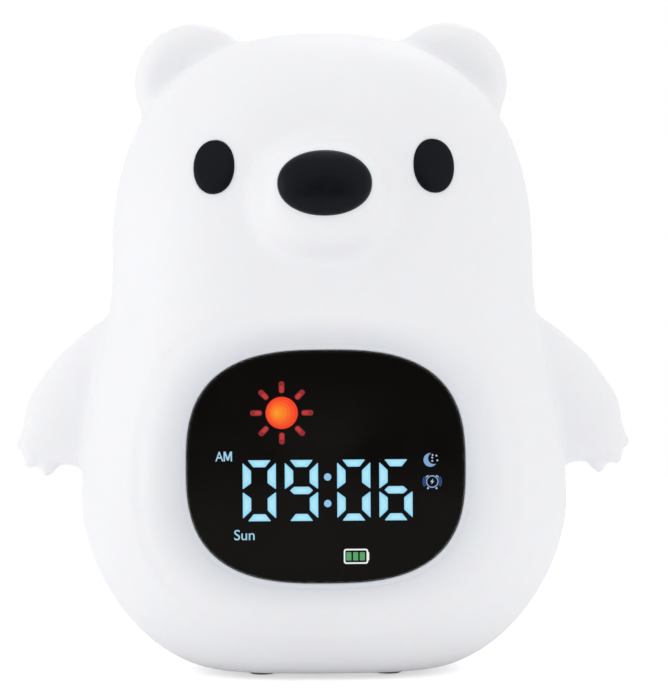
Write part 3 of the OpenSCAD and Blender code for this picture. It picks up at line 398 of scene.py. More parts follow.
def build(name, form, finish=None, sharp=35.0, placed=True):
    """An object from a form, about the body's axis if it is placed, with its faces turned outwards."""
    points, faces = form
    if placed:
        points = points + np.array([0, sizes("body").axis_y, 0])
    mesh = bpy.data.meshes.new(name)
    mesh.from_pydata((points * MM).tolist(), [], faces)
    bm = bmesh.new()
    bm.from_mesh(mesh)
    bmesh.ops.recalc_face_normals(bm, faces=bm.faces)
    bm.to_mesh(mesh)
    bm.free()
    obj = linked(name, mesh)
    if finish:
        mesh.materials.append(finish)
    soften(mesh, sharp)
    return obj


def soften(mesh, sharp):
    """Shades a mesh smooth, apart from edges sharper than that angle."""
    mesh.shade_smooth()
    mesh.set_sharp_from_angle(angle=math.radians(sharp))


def settle(obj):
    """Puts what an object's modifiers make into its mesh and takes the modifiers off."""
    graph = bpy.context.evaluated_depsgraph_get()
    mesh = bpy.data.meshes.new_from_object(obj.evaluated_get(graph))
    obj.modifiers.clear()
    obj.data = mesh
    mesh.name = obj.name


def drop(*objects):
    for obj in objects:
        bpy.data.objects.remove(obj)


def taken(obj):
    """An object's mesh as a form, without the object."""
    points = np.array([v.co for v in obj.data.vertices]) / MM
    faces = [list(face.vertices) for face in obj.data.polygons]
    drop(obj)
    return points, faces


def cut(obj, *forms, placed=True, union=False):
    """Takes closed forms out of an object, or joins them to it."""
    tools = [build("tool", form, placed=placed) for form in forms]
    for tool in tools:
        modifier = obj.modifiers.new("cut", "BOOLEAN")
        modifier.object = tool
        modifier.operation = "UNION" if union else "DIFFERENCE"
        modifier.solver = "MANIFOLD"
    settle(obj)
    drop(*tools)


def bevel(obj, width):
    """Rounds the edges of an object."""
    modifier = obj.modifiers.new("bevel", "BEVEL")
    modifier.width = width * MM
    modifier.segments = 2
    modifier.limit_method = "ANGLE"
    modifier.angle_limit = math.radians(40)
    settle(obj)


def give(obj, body=BODY, replaced=()):
    """Hangs a finished piece on the body it rides on and hides the frame's solids that it stands for."""
    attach(obj, body)
    if replaced:
        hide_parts(*replaced)


# ---- Finishes ----

def wire(tree, kind, settings=None, **values):
    """Adds a node, sets its fields and sockets, and links the sockets that are given an output."""
    node = tree.nodes.new(kind)
    for field, value in (settings or {}).items():
        setattr(node, field, value)
    for name, value in values.items():
        wanted = name.replace("_", " ").lower()
        socket = next(s for s in node.inputs if s.enabled and s.name.lower() == wanted)
        if isinstance(value, bpy.types.NodeSocket):
            tree.links.new(value, socket)
        else:
            socket.default_value = value
    return node


def picked(node):
    """The output that a node with several kinds of value has in use."""
    return next(s for s in node.outputs if s.enabled)


def calc(tree, operation, *terms):
    """A Math node on numbers and sockets."""
    node = tree.nodes.new("ShaderNodeMath")
    node.operation = operation
    for socket, term in zip(node.inputs, terms):
        if isinstance(term, bpy.types.NodeSocket):
            tree.links.new(term, socket)
        else:
            socket.default_value = term
    return node.outputs["Value"]


def new_finish(name):
    """A material with an empty tree, its output and its shader."""
    material = bpy.data.materials.new(name)
    material.use_nodes = True
    tree = material.node_tree
    tree.nodes.clear()
    shader = tree.nodes.new("ShaderNodeBsdfPrincipled")
    output = tree.nodes.new("ShaderNodeOutputMaterial")
    tree.links.new(shader.outputs["BSDF"], output.inputs["Surface"])
    return material, tree, shader


def grain(tree, size, detail=2.0):
    """Noise on object coordinates whose features are about size millimetres across."""
    place = wire(tree, "ShaderNodeTexCoord").outputs["Object"]
    return wire(tree, "ShaderNodeTexNoise", vector=place, scale=1 / (size * MM), detail=detail).outputs["Fac"]


def spread(tree, value, low, high, start=0.3, end=0.7):
    """Maps noise to a range."""
    node = wire(tree, "ShaderNodeMapRange", value=value, from_min=start, from_max=end,
                to_min=low, to_max=high)
    return node.outputs["Result"]


def set_sockets(shader, **values):
    for socket, value in values.items():
        shader.inputs[socket.replace("_", " ")].default_value = value


def tinted(tree, value, base, change):
    """A colour that varies a little with a value."""
    ramp = tree.nodes.new("ShaderNodeValToRGB")
    tree.links.new(value, ramp.inputs["Fac"])
    for element, position, factor in zip(ramp.color_ramp.elements, (0.3, 0.7), (1 - change, 1 + change)):
        element.position = position
        element.color = [min(1, c * factor) for c in base] + [1]
    return ramp.outputs["Color"]


def moulded(name, base, rough=0.45, change=0.03, pores=0.35, depth=0.01, clouds=14.0, **shader_values):
    """A surface with clouded colour, uneven gloss and a fine grain.

    rough is its roughness, change the share by which its colour varies, pores and clouds the sizes of its
    grain and its clouds in millimetres, and depth the height of the grain in millimetres.
    """
    material, tree, shader = new_finish(name)
    cloud = grain(tree, clouds)
    fine = grain(tree, pores, 3.0)
    tree.links.new(tinted(tree, cloud, base, change), shader.inputs["Base Color"])
    uneven = spread(tree, grain(tree, pores * 6), rough - 0.06, rough + 0.06)
    tree.links.new(uneven, shader.inputs["Roughness"])
    bump = wire(tree, "ShaderNodeBump", height=fine, distance=depth * MM, strength=1.0)
    tree.links.new(bump.outputs["Normal"], shader.inputs["Normal"])
    set_sockets(shader, **shader_values)
    return material


def recess_unshaded_share(tree, x, y, z):
    """Share of the skin's own colour against the painted shade of the window's recess, from 0 at the window
    to 1 well away from it.
    """
    d = sizes("display")
    side = calc(tree, "DIVIDE", x, d.lens_w / 2 * MM)
    height = calc(tree, "DIVIDE", calc(tree, "SUBTRACT", z, d.lens_z * MM), d.lens_h / 2 * MM)
    across, upward = (calc(tree, "POWER", calc(tree, "ABSOLUTE", way), d.lens_power)
                      for way in (side, height))
    away = calc(tree, "POWER", calc(tree, "ADD", across, upward), 1 / d.lens_power)
    # Painted shade: the skin greys towards the window, over the slope of its recess
    around = wire(tree, "ShaderNodeMapRange", {"interpolation_type": "SMOOTHSTEP"}, value=away,
                  from_min=0.86, from_max=1.36).outputs["Result"]
    # Less painted shade towards the top, where more light falls, and none behind
    above = wire(tree, "ShaderNodeMapRange", value=height, from_min=0.4, from_max=1.1,
                 to_max=0.45).outputs["Result"]
    behind = calc(tree, "GREATER_THAN", y, 0.0)
    return calc(tree, "MAXIMUM", calc(tree, "MAXIMUM", around, above), behind)


def silicone():
    """Matte white silicone: clouded, powdery, with a parting line, and a painted shade that greys it round
    the window's recess.
    """
    base, body = finish_colour("skin"), sizes("body")
    # Greyer colour that paints the shade in the recess round the window
    recess_shade_colour = [c * share for c, share in zip(base, (0.80, 0.825, 0.86))]
    material, tree, shader = new_finish("matte silicone")
    place = wire(tree, "ShaderNodeTexCoord").outputs["Object"]
    x, y, z = wire(tree, "ShaderNodeSeparateXYZ", vector=place).outputs
    tint = wire(tree, "ShaderNodeMix", {"data_type": "RGBA"}, factor=recess_unshaded_share(tree, x, y, z),
                a=(*recess_shade_colour, 1), b=tinted(tree, grain(tree, 26.0), base, 0.006))
    tree.links.new(picked(tint), shader.inputs["Base Color"])
    tree.links.new(spread(tree, grain(tree, 3.0), 0.42, 0.56), shader.inputs["Roughness"])

    seam = calc(tree, "ABSOLUTE", calc(tree, "SUBTRACT", y, (body.axis_y + body.arm_back + 1) * MM))
    heights = [(spread(tree, seam, 1.0, 0.0, 0.00006, 0.00022), 0.035), (grain(tree, 0.3, 4.0), 0.012),
               (grain(tree, 9.0), 0.05)]
    normal = {}
    for height, distance in heights:
        bump = wire(tree, "ShaderNodeBump", height=height, distance=distance * MM, strength=1.0, **normal)
        normal = {"normal": bump.outputs["Normal"]}
    tree.links.new(bump.outputs["Normal"], shader.inputs["Normal"])
    set_sockets(shader, IOR=1.42, Subsurface_Weight=0.12, Subsurface_Scale=0.002, Sheen_Weight=0.06,
                Sheen_Roughness=0.4)
    return material


def lit(name, light):
    """A lit mark: plain light over black, as the export keeps it."""
    material, tree, shader = new_finish(name)
    tree.links.new(tinted(tree, grain(tree, 0.8), (0.01, 0.01, 0.01), 0.3), shader.inputs["Base Color"])
    set_sockets(shader, Emission_Color=(*light, 1), Emission_Strength=1.0, Roughness=0.3,
                Specular_IOR_Level=0.1)
    return material


# ---- Trees that repeat a piece ----

def new_tree(name, inputs):
    """A geometry tree with named inputs, and the way from a name to a socket's identifier."""
    tree = bpy.data.node_groups.new(name, "GeometryNodeTree")
    tree.interface.new_socket(name="Geometry", in_out="OUTPUT", socket_type="NodeSocketGeometry")
    ids = {}
    for title, kind in [("Geometry", "NodeSocketGeometry"), *inputs]:
        ids[title] = tree.interface.new_socket(name=title, in_out="INPUT", socket_type=kind).identifier
    source = tree.nodes.new("NodeGroupInput")
    return tree, ids, source.outputs


def close_tree(tree, instances, material):
    """Ends a tree in real geometry with its material."""
    real = wire(tree, "GeometryNodeRealizeInstances", geometry=instances)
    named = wire(tree, "GeometryNodeSetMaterial", geometry=real.outputs["Geometry"], material=material)
    output = tree.nodes.new("NodeGroupOutput")
    tree.links.new(named.outputs["Geometry"], output.inputs["Geometry"])


def repeat_tree():
    """Puts a piece on every point, each turned by a random amount about an axis."""
    tree, ids, given = new_tree("pieces at points", [
        ("Piece", "NodeSocketObject"), ("Axis", "NodeSocketVector"), ("Turn", "NodeSocketFloat"),
        ("Seed", "NodeSocketInt"), ("Finish", "NodeSocketMaterial")])
    piece = wire(tree, "GeometryNodeObjectInfo", {"transform_space": "ORIGINAL"}, object=given["Piece"])
    chance = wire(tree, "FunctionNodeRandomValue", {"data_type": "FLOAT"}, max=given["Turn"],
                  seed=given["Seed"])
    rotation = wire(tree, "ShaderNodeVectorMath", {"operation": "SCALE"}, vector=given["Axis"],
                    scale=picked(chance))
    copies = wire(tree, "GeometryNodeInstanceOnPoints", points=given["Geometry"],
                  instance=piece.outputs["Geometry"], rotation=rotation.outputs["Vector"])
    close_tree(tree, copies.outputs["Instances"], given["Finish"])
    return tree, ids


def ray_tree():
    """Puts a bar at equal steps round a circle, each pointing outwards."""
    tree, ids, given = new_tree("rays round a disc", [
        ("Count", "NodeSocketInt"), ("Radius", "NodeSocketFloat"), ("Finish", "NodeSocketMaterial")])
    circle_points = wire(tree, "GeometryNodeMeshCircle", vertices=given["Count"], radius=given["Radius"])
    index = wire(tree, "GeometryNodeInputIndex").outputs["Index"]
    bearing = calc(tree, "MULTIPLY", index, calc(tree, "DIVIDE", 2 * math.pi, given["Count"]))
    rotation = wire(tree, "ShaderNodeCombineXYZ", z=bearing)
    copies = wire(tree, "GeometryNodeInstanceOnPoints", points=circle_points.outputs["Mesh"],
                  instance=given["Geometry"], rotation=rotation.outputs["Vector"])
    close_tree(tree, copies.outputs["Instances"], given["Finish"])
    return tree, ids


def grown(obj, tree, ids, values):
    """Runs a tree on an object and keeps what it makes as a plain mesh."""
    modifier = obj.modifiers.new("tree", "NODES")
    modifier.node_group = tree
    for name, value in values.items():
        modifier[ids[name]] = value
    settle(obj)


def repeated(name, form, places, axis, turn, seed, finish):
    """One object with a copy of the form at each place."""
    piece = build("pattern", form, placed=False)
    points = bpy.data.meshes.new(name)
    shift = np.array([0, sizes("body").axis_y, 0])
    points.from_pydata(((np.array(places, float) + shift) * MM).tolist(), [], [])
    obj = linked(name, points)
    tree, ids = repeat_tree()
    grown(obj, tree, ids, {"Piece": piece, "Axis": axis, "Turn": turn, "Seed": seed, "Finish": finish})
    drop(piece)
    soften(obj.data, 35)
    return obj


# ---- Skin ----

class Field:
    """Distances to surfaces on one grid, in millimetres, that go no further than some steps of the grid."""

    reach = 9

    def __init__(self, low, high, step):
        self.step = step
        self.low = np.floor(np.array(low) / step).astype(int)
        self.shape = tuple(np.ceil(np.array(high) / step).astype(int) - self.low)
        self.transform = openvdb.createLinearTransform(voxelSize=step)

    def of(self, form):
        points, faces = form
        quads = np.array([f for f in faces if len(f) == 4], np.uint32).reshape(-1, 4)
        triangles = np.array([f for f in faces if len(f) == 3], np.uint32).reshape(-1, 3)
        grid = openvdb.FloatGrid.createLevelSetFromPolygons(
            points.astype(np.float32), triangles=triangles, quads=quads, transform=self.transform,
            exBandWidth=self.reach, inBandWidth=self.reach)
        values = np.empty(self.shape, np.float32)
        grid.copyToArray(values, ijk=tuple(int(v) for v in self.low))
        return values

    def mesh(self, values):
        grid = openvdb.FloatGrid(self.reach * self.step)
        grid.transform = self.transform
        grid.copyFromArray(values, ijk=tuple(int(v) for v in self.low))
        points, quads = grid.convertToQuads(isovalue=0.0)
        return np.array(points, float), np.array(quads, int)


def joined(a, b, soft):
    """Both fields as one, with a fillet of about that width."""
    h = np.maximum(soft - np.abs(a - b), 0) / soft
    return np.minimum(a, b) - h * h * soft / 4


def carved(a, b, soft):
    """The first field without the second, with an edge rounded over about that width."""
    return -joined(-a, b, soft)


def evened(values, times):
    """Rounds the creases of a field a little."""
    for _ in range(times):
        for axis in range(3):
            values = (np.roll(values, 1, axis) + 2 * values + np.roll(values, -1, axis)) / 4
    return values


def relaxed(points, quads, times=4):
    """Smooths a mesh without shrinking it."""
    edges = np.vstack([quads[:, [i, (i + 1) % 4]] for i in range(4)])
    a, b = np.concatenate([edges, edges[:, ::-1]]).T
    count = np.bincount(a, minlength=len(points))[:, None]
    for factor in (0.5, -0.52) * times:
        total = np.stack([np.bincount(a, points[b, k], len(points)) for k in range(3)], 1)
        points = points + factor * (total / count - points)
    return points


def body_form(inset, n, front=None, back=None):
    """The body as a closed form, inset all round and cut flat in front and behind if asked."""
    b = sizes("body")
    q = np.linspace(0, np.pi / 2, 40)
    low, high = b.base_z + inset, b.crown - inset
    heights = np.concatenate([
        b.belly_z - (b.belly_z - low) * np.cos(q[:-1]) ** (2 / b.base_power),
        np.linspace(b.belly_z, b.head_z, 36)[:-1],
        b.head_z + (high - b.head_z) * np.sin(q[:-1]) ** (2 / b.dome_power)])
    widths, depths = half_sizes(heights, inset)
    rings = []
    for z, w, d in zip(heights, widths, depths):
        outline = oval(2 * w, 2 * d, b.section_power, n)
        y = outline[:, 1]
        if front is not None:
            y = np.clip(y, front, back)
        rings.append(np.column_stack([outline[:, 0], y, np.full(n, z)]))
    return loft(rings, (0, 0, low), (0, 0, high))


def recess_form(floor, edge, power, middle_z, level, side, rise, drop=0.0, n=160, steps=16):
    """What is cut from the front (side -1) or the back (side 1): a level floor and a soft slope round it.

    rise gives the slope's height for its breadth, and the outer edge lies lower than the floor by drop.
    """
    rings = []
    for i in range(steps + 1):
        t = i / steps
        outline = oval(*mix(floor, edge, t), power, n)
        z = middle_z - drop * t
        out = np.maximum(level, depth_at(outline[:, 0], outline[:, 1] + z))
        rings.append(ring(outline, side * mix(level, out, rise(t)), z))
    # Outside the body the form only widens
    for grow, out in ((4, 5), (12, 30)):
        rings.append(ring(oval(*(edge + grow), power, n), rings[steps][:, 1] + side * out, middle_z - drop))
    return loft(rings)


def ear_form(side):
    """An ear: a disc with a thick round rim, dished in front and slightly domed behind."""
    b = sizes("body")
    r, rim, flat_r = b.ear_dia / 2, b.ear_t / 2, b.ear_dia * 0.31
    profile = [(flat_r * t, -(2.7 + 1.9 * ease(t))) for t in np.linspace(0.04, 1, 9)]
    q = np.linspace(-0.9, 0.9, 19) * np.pi / 2
    profile += [(r - rim + rim * math.cos(a), rim * math.sin(a)) for a in q]
    profile += [(flat_r * t, 5.2 - 0.35 * t * t) for t in np.linspace(1, 0.04, 6)]
    form = lathe(profile, 72)
    turn = Matrix.Rotation(math.radians(-90), 4, "X")
    return moved(form, (side * b.ear_spacing / 2, b.ear_back, b.ear_z), turn)


def ball(x, z, r, t, n=40):
    """Points of a flattened ball in the arm's plane."""
    q = np.linspace(-np.pi / 2, np.pi / 2, n // 2)
    a = np.arange(n) * 2 * np.pi / n
    return np.stack([x + r * np.outer(np.cos(q), np.cos(a)), t / 2 * np.outer(np.sin(q), np.ones(n)),
                     z + r * np.outer(np.cos(q), np.sin(a))], -1).reshape(-1, 3)


def hull(points):
    """The closed form stretched round points."""
    bm = bmesh.new()
    for p in points:
        bm.verts.new(p)
    made = bmesh.ops.convex_hull(bm, input=bm.verts)
    bmesh.ops.delete(bm, geom=list({*made["geom_interior"], *made["geom_unused"]}), context="VERTS")
    bm.verts.index_update()
    form = np.array([v.co for v in bm.verts]), [[v.index for v in f.verts] for f in bm.faces]
    bm.free()
    return form


# The balls that a flipper is stretched round, apart from the shoulder's: where they lie from the paw's
# middle, how much larger they are than the paw, and their share of the shoulder's thickness
FLIPPER = ((-11.4, 12.8, 5.9, 0.85), (-5.4, 6.8, 4.5, 0.7), (-0.3, 0.9, 0.4, 0.5), (-8.4, 0.6, 1.0, 0.6))

# The root of each claw from the paw's middle, and where it points, in degrees
CLAWS = ((3.2, 0.4, -20), (2.2, -2.9, -62), (-1.3, -4.7, -80))


def arm_forms(side):
    """The arm's flipper and its three claws."""
    b = sizes("body")
    paw = b.paw_x - b.paw_r
    balls = [ball(b.shoulder_x, b.shoulder_z, b.shoulder_r, b.shoulder_t)]
    balls += [ball(paw + x, b.paw_z + z, b.paw_r + r, b.shoulder_t * share) for x, z, r, share in FLIPPER]
    flipper = hull(np.vstack(balls))
    claws = []
    for x, z, bearing in CLAWS:
        q = math.radians(bearing)
        root = ball(paw + x, b.paw_z + z, 2.2, 4.4, 20)
        point = ball(paw + x + b.claw_l * math.cos(q), b.paw_z + z + b.claw_l * math.sin(q), 0.6, 1.2, 12)
        claws.append(hull(np.vstack([root, point])))
    mirror = np.array([side, 1, 1])
    return [(p * mirror + np.array([0, b.arm_back, 0]), f) for p, f in (flipper, *claws)]


def snout_depths():
    """Distance from the axis at which the snout starts in the head, and how far it reaches from there."""
    return sizes("body").head_d / 2 - SNOUT_ROOT, SNOUT_ROOT + sizes("face").snout_out


def snout_form():
    """The snout, a soft squarish bump on the face."""
    f = sizes("face")
    root, deep = snout_depths()
    outline = oval(f.snout_w, f.snout_h, SNOUT_POWER, 96)
    rings = [ring(outline, -root / 2, f.snout_z)]
    for q in np.linspace(0, np.pi / 2, 26)[:-1]:
        r, d = math.cos(q) ** (2 / SNOUT_DOME), math.sin(q) ** (2 / SNOUT_DOME)
        rings.append(ring(outline * r, -root - deep * d, f.snout_z))
    return loft(rings, (0, -root / 2, f.snout_z), (0, -root - deep, f.snout_z))


def inlay(w, h, front, back, n=72, steps=14):
    """An oval inlay that bulges by front and is let in by back, facing -Y at the origin."""
    outline = oval(w, h, INLAY_POWER, n)
    rings = [ring(outline, back)]
    for q in np.linspace(0, np.pi / 2, steps + 1)[:-1]:
        rings.append(ring(outline * math.cos(q), -front * math.sin(q)))
    return loft(rings, (0, back, 0), (0, -front, 0))


def at_eye(form, side):
    """Stands an inlay on the face in the place of an eye, upright as seen from in front."""
    f = sizes("face")
    x, step = f.eye_spacing / 2, 0.5
    turn = math.atan((depth_at(x - step, f.eye_z) - depth_at(x + step, f.eye_z)) / (2 * step))
    tilt = math.atan((depth_at(x, f.eye_z - step) - depth_at(x, f.eye_z + step)) / (2 * step))
    upright = math.atan(math.tan(turn) * math.sin(tilt))
    matrix = (Matrix.Rotation(side * turn, 4, "Z") @ Matrix.Rotation(-tilt, 4, "X")
              @ Matrix.Rotation(side * upright, 4, "Y"))
    return moved(form, (side * x, -float(depth_at(x, f.eye_z)), f.eye_z), matrix)


def at_nose(form):
    """Stands an inlay on the slope of the snout in the place of the nose."""
    f = sizes("face")
    root, deep = snout_depths()
    rises = [2 * abs(f.nose_z + half - f.snout_z) / f.snout_h for half in (f.nose_h / 2, -f.nose_h / 2)]
    top, bottom = (root + deep * (1 - rise ** SNOUT_DOME) ** (1 / SNOUT_DOME) for rise in rises)
    matrix = Matrix.Rotation(-math.atan((bottom - top) / f.nose_h), 4, "X")
    return moved(form, (0, -(top + bottom) / 2, f.nose_z), matrix)


def along_y(outline_at, steps, height):
    """A form along Y whose outline grows with (depth, growth) steps."""
    return loft([ring(outline_at(grow), y, height) for y, grow in steps])


def soft_outside():
    """The body with its recesses, snout, arms and ears as one soft form."""
    b, d, p = sizes("body"), sizes("display"), sizes("panel")
    # The field's box holds the body with a few steps to spare all round
    field = Field((-76, -56, -4), (76, 54, 156), b.voxel)
    floor = np.array([d.lens_w, d.lens_h]) + 2 * d.ledge
    edge = floor + 2 * d.slope * np.array([SLOPE_SPREAD, 1])
    front = recess_form(floor, edge, d.lens_power, d.lens_z, d.lens_set, -1, even, d.drop)
    bay = np.array([p.panel_w, p.panel_h]) + 2 * (d.lip_gap + 1)
    rear = recess_form(bay, bay + 2 * p.bay_slope, BAY_POWER, p.panel_z, p.panel_set, 1, ease)

    skin = carved(field.of(body_form(0, 260)), field.of(front), 2.6)
    skin = carved(skin, field.of(rear), 3.0)
    skin = joined(skin, evened(field.of(snout_form()), 2), 4.0)
    for side in (-1, 1):
        flipper, *claws = arm_forms(side)
        arm = evened(field.of(flipper), 3)
        for claw in claws:
            arm = joined(arm, field.of(claw), 1.6)
        skin = joined(skin, arm, 3.0)
        skin = joined(skin, evened(field.of(ear_form(side)), 1), 2.5)
    points, quads = field.mesh(skin)
    return relaxed(points, quads), quads.tolist()


def skin_openings():
    """What is cut out of the soft outside: its hollow, the window, the control panel and the sole."""
    b, d, p, s = (sizes(name) for name in ("body", "display", "panel", "sole"))
    front, back, gap = -d.lens_set, p.panel_set, d.lip_gap
    window = along_y(lambda g: oval(d.lens_w + 2 * g, d.lens_h + 2 * g, d.lens_power, 160),
                     [(front + 6, gap), (front + 0.7, gap), (front + 0.35, 0.36), (front + 0.12, 0.5),
                      (front - 0.05, 0.75), (front - 0.4, 1.6), (front - 22, 1.6)], d.lens_z)
    panel = along_y(lambda g: rounded(p.panel_w + 2 * g, p.panel_h + 2 * g, p.panel_r + g),
                    [(back - 6, gap), (back - 0.6, gap), (back - 0.3, 0.36), (back - 0.1, 0.5),
                     (back + 0.05, 0.7), (back + 0.4, 0.95), (back + 20, 0.95)], p.panel_z)
    outline = oval(s.plate_w + 2 * gap, s.plate_d + 2 * gap, b.section_power, 96)
    steps = ((1.03, -3), (1.03, b.base_z - 0.4), (1.012, b.base_z + 0.3), (1.0, b.base_z + 0.9), (1.0, 5.2))
    sole = loft([np.column_stack([outline * k, np.full(96, z)]) for k, z in steps])
    return body_form(b.wall, 96, b.wall + front, back - b.wall), window, panel, sole


def make_skin():
    f = sizes("face")
    obj = build("soft_skin", soft_outside(), silicone())
    grow, pocket = 2 * f.gap, f.depth + f.gap
    eye = inlay(f.eye_w + grow, f.eye_h + grow, 2, pocket)
    nose = inlay(f.nose_w + grow, f.nose_h + grow, 6, pocket)
    cut(obj, *skin_openings(), at_nose(nose), *(at_eye(eye, side) for side in (-1, 1)))
    soften(obj.data, 38)
    give(obj, replaced=["silicone_skin"])


def make_face():
    f = sizes("face")
    black = moulded("satin black", finish_colour("face"), rough=0.34, change=0.08, pores=0.5, depth=0.006,
                    clouds=6.0, Specular_IOR_Level=0.11)
    eye = inlay(f.eye_w, f.eye_h, f.eye_bulge, f.depth)
    nose = inlay(f.nose_w, f.nose_h, f.nose_bulge, f.depth, 96, 20)
    for name, form in (("nose", at_nose(nose)), ("left_eye", at_eye(eye, -1)), ("right_eye", at_eye(eye, 1))):
        give(build(name + "_pad", form, black, 60), replaced=[name])


# ---- Display ----

def make_window():
    d = sizes("display")
    steps = [(d.lens_t, -0.3), (d.lens_t - 0.3, 0.0), (d.edge_r, 0.0)]
    steps += [(d.edge_r * (1 - math.sin(q)), d.edge_r * (math.cos(q) - 1))
              for q in np.linspace(0, math.pi / 2, 7)[1:]]
    form = along_y(lambda g: oval(d.lens_w + 2 * g, d.lens_h + 2 * g, d.lens_power, 180),
                   [(y - d.lens_set, g) for y, g in steps], d.lens_z)
    gloss = moulded("smoked window", finish_colour("window"), rough=0.14, change=0.05, pores=2.5,
                    depth=0.0008, clouds=9.0, Specular_IOR_Level=0.06)
    give(build("window", form, gloss, 30), replaced=["display_lens"])


def eased(outline, r):
    """An outline with each corner cut back by r on both sides, in two steps."""
    outline = np.array(outline, float)
    for share in (r, r * 0.4):
        ahead = np.roll(outline, -1, 0) - outline
        behind = np.roll(outline, 1, 0) - outline
        ahead /= np.linalg.norm(ahead, axis=1)[:, None]
        behind /= np.linalg.norm(behind, axis=1)[:, None]
        outline = np.stack([outline + behind * share, outline + ahead * share], 1).reshape(-1, 2)
    return outline


def digit_bars(w, h):
    """The seven bars of a digit, as outlines about its middle: top, two upper, middle, two lower, bottom."""
    x, y, t = w / 2, h / 2, 1.9
    top = [(-x + 1.15, y), (x - 1.15, y), (x - 2.4, y - 1.6), (-x + 2.4, y - 1.6)]
    upper = [(-x, y - 0.6), (-x + t, y - 2.4), (-x + t, 1.7), (-x, 0.3)]
    middle = [(-x + 1.12, 0), (-x + 2.06, 0.84), (x - 2.06, 0.84), (x - 1.12, 0), (x - 2.06, -0.84),
              (-x + 2.06, -0.84)]

    def flipped(outline, sx, sy):
        return [(sx * a, sy * b) for a, b in outline]

    bars = [top, upper, flipped(upper, -1, 1), middle, flipped(upper, 1, -1), flipped(upper, -1, -1),
            flipped(top, 1, -1)]
    return [eased(bar, 0.14) for bar in bars]


# The bars that are lit in each numeral, in the order of digit_bars
LIT_BARS = {"0": (0, 1, 2, 4, 5, 6), "6": (0, 1, 3, 4, 5, 6), "9": (0, 1, 2, 3, 5, 6)}
SHOWN = "0906"


def shrunk(outline, share):
    """An outline drawn in towards its middle."""
    middle = (outline.min(0) + outline.max(0)) / 2
    return (outline - middle) * share + middle


def mark(name, form, x, z, finish, layer=0):
    """A flat lit mark on the window, x and z from its middle, in front of the marks of lower layers."""
    d = sizes("display")
    form = facing_front(form, -d.lens_set - MARK_LIFT - MARK_STEP * layer, d.lens_z + z, x)
    give(build(name, form, finish))


def word(text, w, h):
    """A word as a flat form fitted to a width and a height about the origin."""
    curve = bpy.data.curves.new(text, "FONT")
    curve.body = text
    curve.extrude = 0.5
    curve.offset = 0.004
    curve.resolution_u = 5
    obj = linked(text, curve)
    graph = bpy.context.evaluated_depsgraph_get()
    mesh = bpy.data.meshes.new_from_object(obj.evaluated_get(graph))
    bm = bmesh.new()
    bm.from_mesh(mesh)
    bmesh.ops.remove_doubles(bm, verts=bm.verts, dist=1e-5)
    bm.to_mesh(mesh)
    bm.free()
    drop(obj)
    points = np.array([v.co for v in mesh.vertices])
    low, high = points.min(0), points.max(0)
    points = (points - (low + high) / 2) / (high - low) * (w, h, THICK)
    return points, [list(face.vertices) for face in mesh.polygons]


def flat(outline, thick=THICK):
    return prism(outline, 0, thick)


def dots(places, r, n):
    return [flat(circle(r, n, x, y)) for x, y in places]


def make_digits():
    d = sizes("display")
    base = np.array(finish_colour("digit"))
    inner, outer = d.pair_pitch / 2, d.pair_pitch / 2 + d.digit_pitch
    centres = [d.row_shift + x for x in (-outer, -inner, inner, outer)]
    shapes = digit_bars(d.digit_w, d.digit_h)
    # Each bar is brightest in its middle, so it is drawn in three layers
    layers = (("digits", "digit edge light", 1.0, (0.82, 0.90, 0.97)),
              ("digit_middles", "digit light", 0.84, (1.03, 1.02, 1.0)),
              ("digit_hearts", "digit heart light", 0.5, (1.3, 1.10, 1.02)))
    for layer, (name, finish, share, tint) in enumerate(layers):
        bars = [moved(flat(shrunk(shapes[k], share)), (x, 0, 0))
                for x, numeral in zip(centres, SHOWN) for k in LIT_BARS[numeral]]
        mark(name, together(*bars), 0, -d.digit_drop, lit(finish, base * tint), layer)
    colon = together(*dots(((d.row_shift, -3.0), (d.row_shift, 3.0)), 0.83, 32))
    mark("colon", colon, 0, -d.digit_drop, lit("colon light", base * (0.8, 0.75, 0.88)))


def make_sun():
    x, z, r = -9.86, 12.26, 3.64
    discs = [(1.0, (0.90, 0.045, 0.012)), (0.86, (0.93, 0.075, 0.012)), (0.68, (0.94, 0.125, 0.012)),
             (0.5, (0.94, 0.19, 0.010)), (0.32, (0.94, 0.25, 0.010)), (0.16, finish_colour("sun"))]
    for layer, (share, light) in enumerate(discs):
        disc = flat(circle(r * share, 56, -0.35 * r * (1 - share), 0))
        mark(f"sun_disc_{layer + 1}", disc, x, z, lit(f"sun light {layer + 1}", light), layer)
    tree, ids = ray_tree()
    rays = (("sun_rays", 2.7, 1.28, 5.78, (0.27, 0.016, 0.018)),
            ("ray_hearts", 1.5, 0.86, 5.35, (0.50, 0.032, 0.032)))
    for layer, (name, long, wide, radius, light) in enumerate(rays):
        red = lit(name + " light", light)
        ray = build(name, flat(rounded(long, wide, wide * 0.46, 6)), red, placed=False)
        grown(ray, tree, ids, {"Count": 8, "Radius": radius * MM, "Finish": red})
        mark(name, taken(ray), x, z, red, layer)


def arc(r, start, end, n, x=0.0, y=0.0):
    """Points on a circle from one angle to another, in degrees."""
    q = np.radians(np.linspace(start, end, n))
    return np.stack([x + r * np.cos(q), y + r * np.sin(q)], 1)


def arc_band(r, w, start, end, n=14):
    """Outline of a bent bar on a circle."""
    return np.vstack([arc(r + w / 2, start, end, n), arc(r - w / 2, end, start, n)])


def bar_outline(long, w, x, y, degrees):
    """Outline of a turned bar with round ends, about x and y."""
    q = math.radians(degrees)
    turn = np.array([[math.cos(q), math.sin(q)], [-math.sin(q), math.cos(q)]])
    return rounded(long, w, w * 0.48, 4) @ turn + (x, y)


